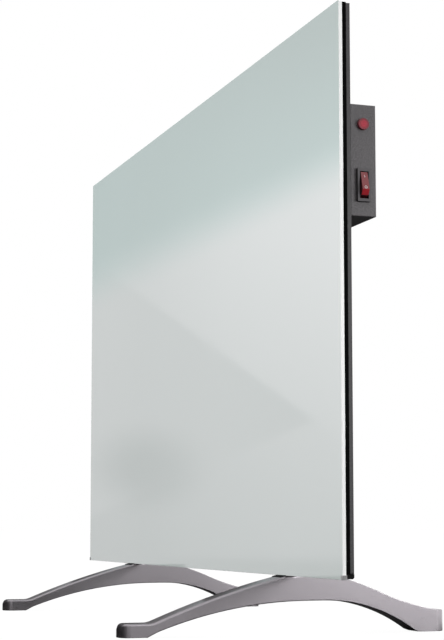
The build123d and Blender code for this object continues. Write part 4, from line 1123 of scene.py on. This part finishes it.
# The room that the glass mirrors: two seams, a soft horizon and a dim patch, brighter to its left
cardLook = {
    "distance": -4.0,
    "span": (-3.2, 0.2),
    "height": (-0.02, 3.4),
    "groundEnd": -0.45,
    "groundHeight": 1.0 * mm,
    "dimEnd": -0.94,  # where the ramps below start, in Y
    "nearStep": 0.18,
    "seamUpper": ((-0.926, 1.123), (-1.834, 0.535)),
    "seamLower": ((-0.934, 0.157), (-1.834, 0.535)),
    "seamSoft": 0.012,
    "horizon": ((-1.248, 1.207), (-1.929, 1.574)),
    "horizonSoft": 0.11,
    "horizonFade": 0.53,
    "skyRamp": (0.42, 0.57),
    "upperRamp": (0.68, 1.17),
    "upperSag": (1.25, 0.6),
    "wedgeRamp": (0.68, 0.36),
    "lowerRamp": (0.55, 0.5),
    "lowerRise": 0.5,
    "patch": (-1.14, 0.34),
    "patchReach": (0.24, 0.17),
    "patchDepth": 0.27,
    "patchFade": (0.2, 1.2),
    "skyTint": (0.7, 1.0, 1.0),
    "wallTint": (1.06, 1.0, 1.03),
    "flags": (  # place, turn, size, tone
        ((-1.5, -3.6, 0.9), 0, (5.0, 1.8), 0.01),
        ((-0.12, -0.09, 0.022), 90, (0.18, 0.044), 0.03),
        ((0.10, 0.16, 0.075), 90, (0.29, 0.15), 0.1),
        ((0.28, 0.274, 0.04), 0, (0.34, 0.12), 1.3),
    ),
    "toeFlags": (  # the same, from the front left corner of each foot
        ((-0.035, -0.017, 0.02), 0, (0.09, 0.04), 0.01),
        ((0.03, -0.028, 0.02), 0, (0.05, 0.04), 0.05),
        ((0.08, -0.045, 0.02), 0, (0.07, 0.04), 0.2),
        ((-0.006, 0.135, 0.031), 90, (0.07, 0.062), 0.06),
        ((-0.017, 0.008, 0.02), 90, (0.05, 0.04), 0.01),
        ((-0.03, 0.10, 0.026), 90, (0.14, 0.052), 0.12),
    ),
}


def seamReach(tree, point, seam):  # distance above the seam
    (firstY, firstZ), (lastY, lastZ) = seam
    run = Vector((lastY - firstY, lastZ - firstZ)).normalized()
    across = Vector((0, -run.y, run.x)) if run.x > 0 else Vector((0, run.y, -run.x))
    offset = across.y * firstY + across.z * firstZ
    reach = addNode(tree, "VectorMath", {0: point, 1: across}, operation="DOT_PRODUCT")
    return sums(tree, "SUBTRACT", reach.outputs["Value"], offset)


def makeWallTones(look):
    material, tree = startGlow("wallTones")
    point = objectPoint(tree)
    spread = addNode(tree, "SeparateXYZ", {0: point}).outputs
    height = spread["Z"]
    beside = sums(tree, "SUBTRACT", look["dimEnd"], spread["Y"])
    aside = sums(tree, "MAXIMUM", beside, look["nearStep"])

    def ramp(name, change=None):
        start, gain = look[name]
        if change:
            gain = sums(tree, "ADD", gain, change)
        return sums(tree, "MULTIPLY_ADD", aside, gain, start)

    def isAbove(name, soft):
        reach = seamReach(tree, point, look[name])
        return stretch(tree, reach, -soft, soft, kind="SMOOTHSTEP")

    def blend(amount, first, second):
        return addNode(tree, "Mix", {0: amount, 2: first, 3: second}).outputs[0]

    sagHeight, sagGain = look["upperSag"]
    sag = stretch(tree, height, sagHeight - 1, sagHeight, -sagGain, 0.0)
    rise = sums(tree, "MULTIPLY", height, look["lowerRise"])
    inWedge = isAbove("seamLower", look["seamSoft"])
    below = blend(inWedge, ramp("lowerRamp", rise), ramp("wedgeRamp"))
    wall = blend(isAbove("seamUpper", look["seamSoft"]), below, ramp("upperRamp", sag))
    skyStart, skyGain = look["skyRamp"]
    aboveHorizon = seamReach(tree, point, look["horizon"])
    fade = stretch(tree, aboveHorizon, 0, look["horizonFade"], skyGain, 0.0)
    sky = sums(tree, "MULTIPLY_ADD", aside, fade, skyStart)
    inSky = isAbove("horizon", look["horizonSoft"])
    patchY, patchZ = look["patch"]
    reachY, reachZ = look["patchReach"]
    shift = {0: point, 1: (0, patchY, patchZ)}
    fromPatch = addNode(tree, "VectorMath", shift, operation="SUBTRACT").outputs[0]
    shrink = {0: fromPatch, 1: (0, 1 / reachY, 1 / reachZ)}
    scaled = addNode(tree, "VectorMath", shrink, operation="MULTIPLY").outputs[0]
    apart = addNode(tree, "VectorMath", {0: scaled}, operation="LENGTH").outputs["Value"]
    dim = stretch(tree, apart, *look["patchFade"], look["patchDepth"], 0.0, "SMOOTHSTEP")
    strength = sums(tree, "SUBTRACT", blend(inSky, wall, sky), dim)
    tint = mixColours(tree, inSky, rgb(*look["wallTint"]), rgb(*look["skyTint"]))
    endGlow(tree, tint, strength)
    return material


def makeCard(name, material, place, rotation, width, depth):
    bpy.ops.object.select_all(action="DESELECT")
    bpy.ops.mesh.primitive_plane_add(size=1, location=place, rotation=rotation)
    card = bpy.context.active_object
    card.name = name
    card.scale = (width, depth, 1)
    settle(card)
    card.data.materials.append(material)
    card.visible_camera = card.visible_diffuse = card.visible_shadow = False
    card.visible_transmission = False


def startGlow(name):
    material = bpy.data.materials.new(name)
    material.use_nodes = True
    tree = material.node_tree
    tree.nodes.clear()
    return material, tree


def endGlow(tree, tone, strength):
    emission = addNode(tree, "Emission", {"Color": tone, "Strength": strength})
    addNode(tree, "OutputMaterial", {"Surface": emission.outputs[0]})


def makeCards(look):
    tones = makeWallTones(look)
    low, high = look["height"]
    start, end = look["span"]
    middleY = (start + end) / 2
    wallPlace = (look["distance"], middleY, (low + high) / 2)
    makeCard("mirroredWall", tones, wallPlace, (0, math.radians(90), 0), high - low, end - start)
    groundPlace = ((look["distance"] + look["groundEnd"]) / 2, middleY, look["groundHeight"])
    groundWidth = look["groundEnd"] - look["distance"]
    makeCard("mirroredGround", tones, groundPlace, (0, 0, 0), groundWidth, end - start)
    flags = list(look["flags"])
    for nodeName in ("foot_right", "foot_left"):
        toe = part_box(nodeName)[0]
        for place, turn, size, tone in look["toeFlags"]:
            flags.append(((toe.x + place[0], toe.y + place[1], place[2]), turn, size, tone))
    for number, (place, turn, size, tone) in enumerate(flags):
        flag, tree = startGlow("flagTone" + str(number))
        endGlow(tree, rgb(tone, tone, tone), 1.0)
        facing = (math.radians(90), 0, math.radians(turn))
        makeCard("flag" + str(number), flag, place, facing, *size)


makeWorld(studioLook)
makeFloor(studioLook)
for lampName, look in lampPlaces.items():
    makeLamp(lampName, look)
makeCards(cardLook)
print("studio lit")
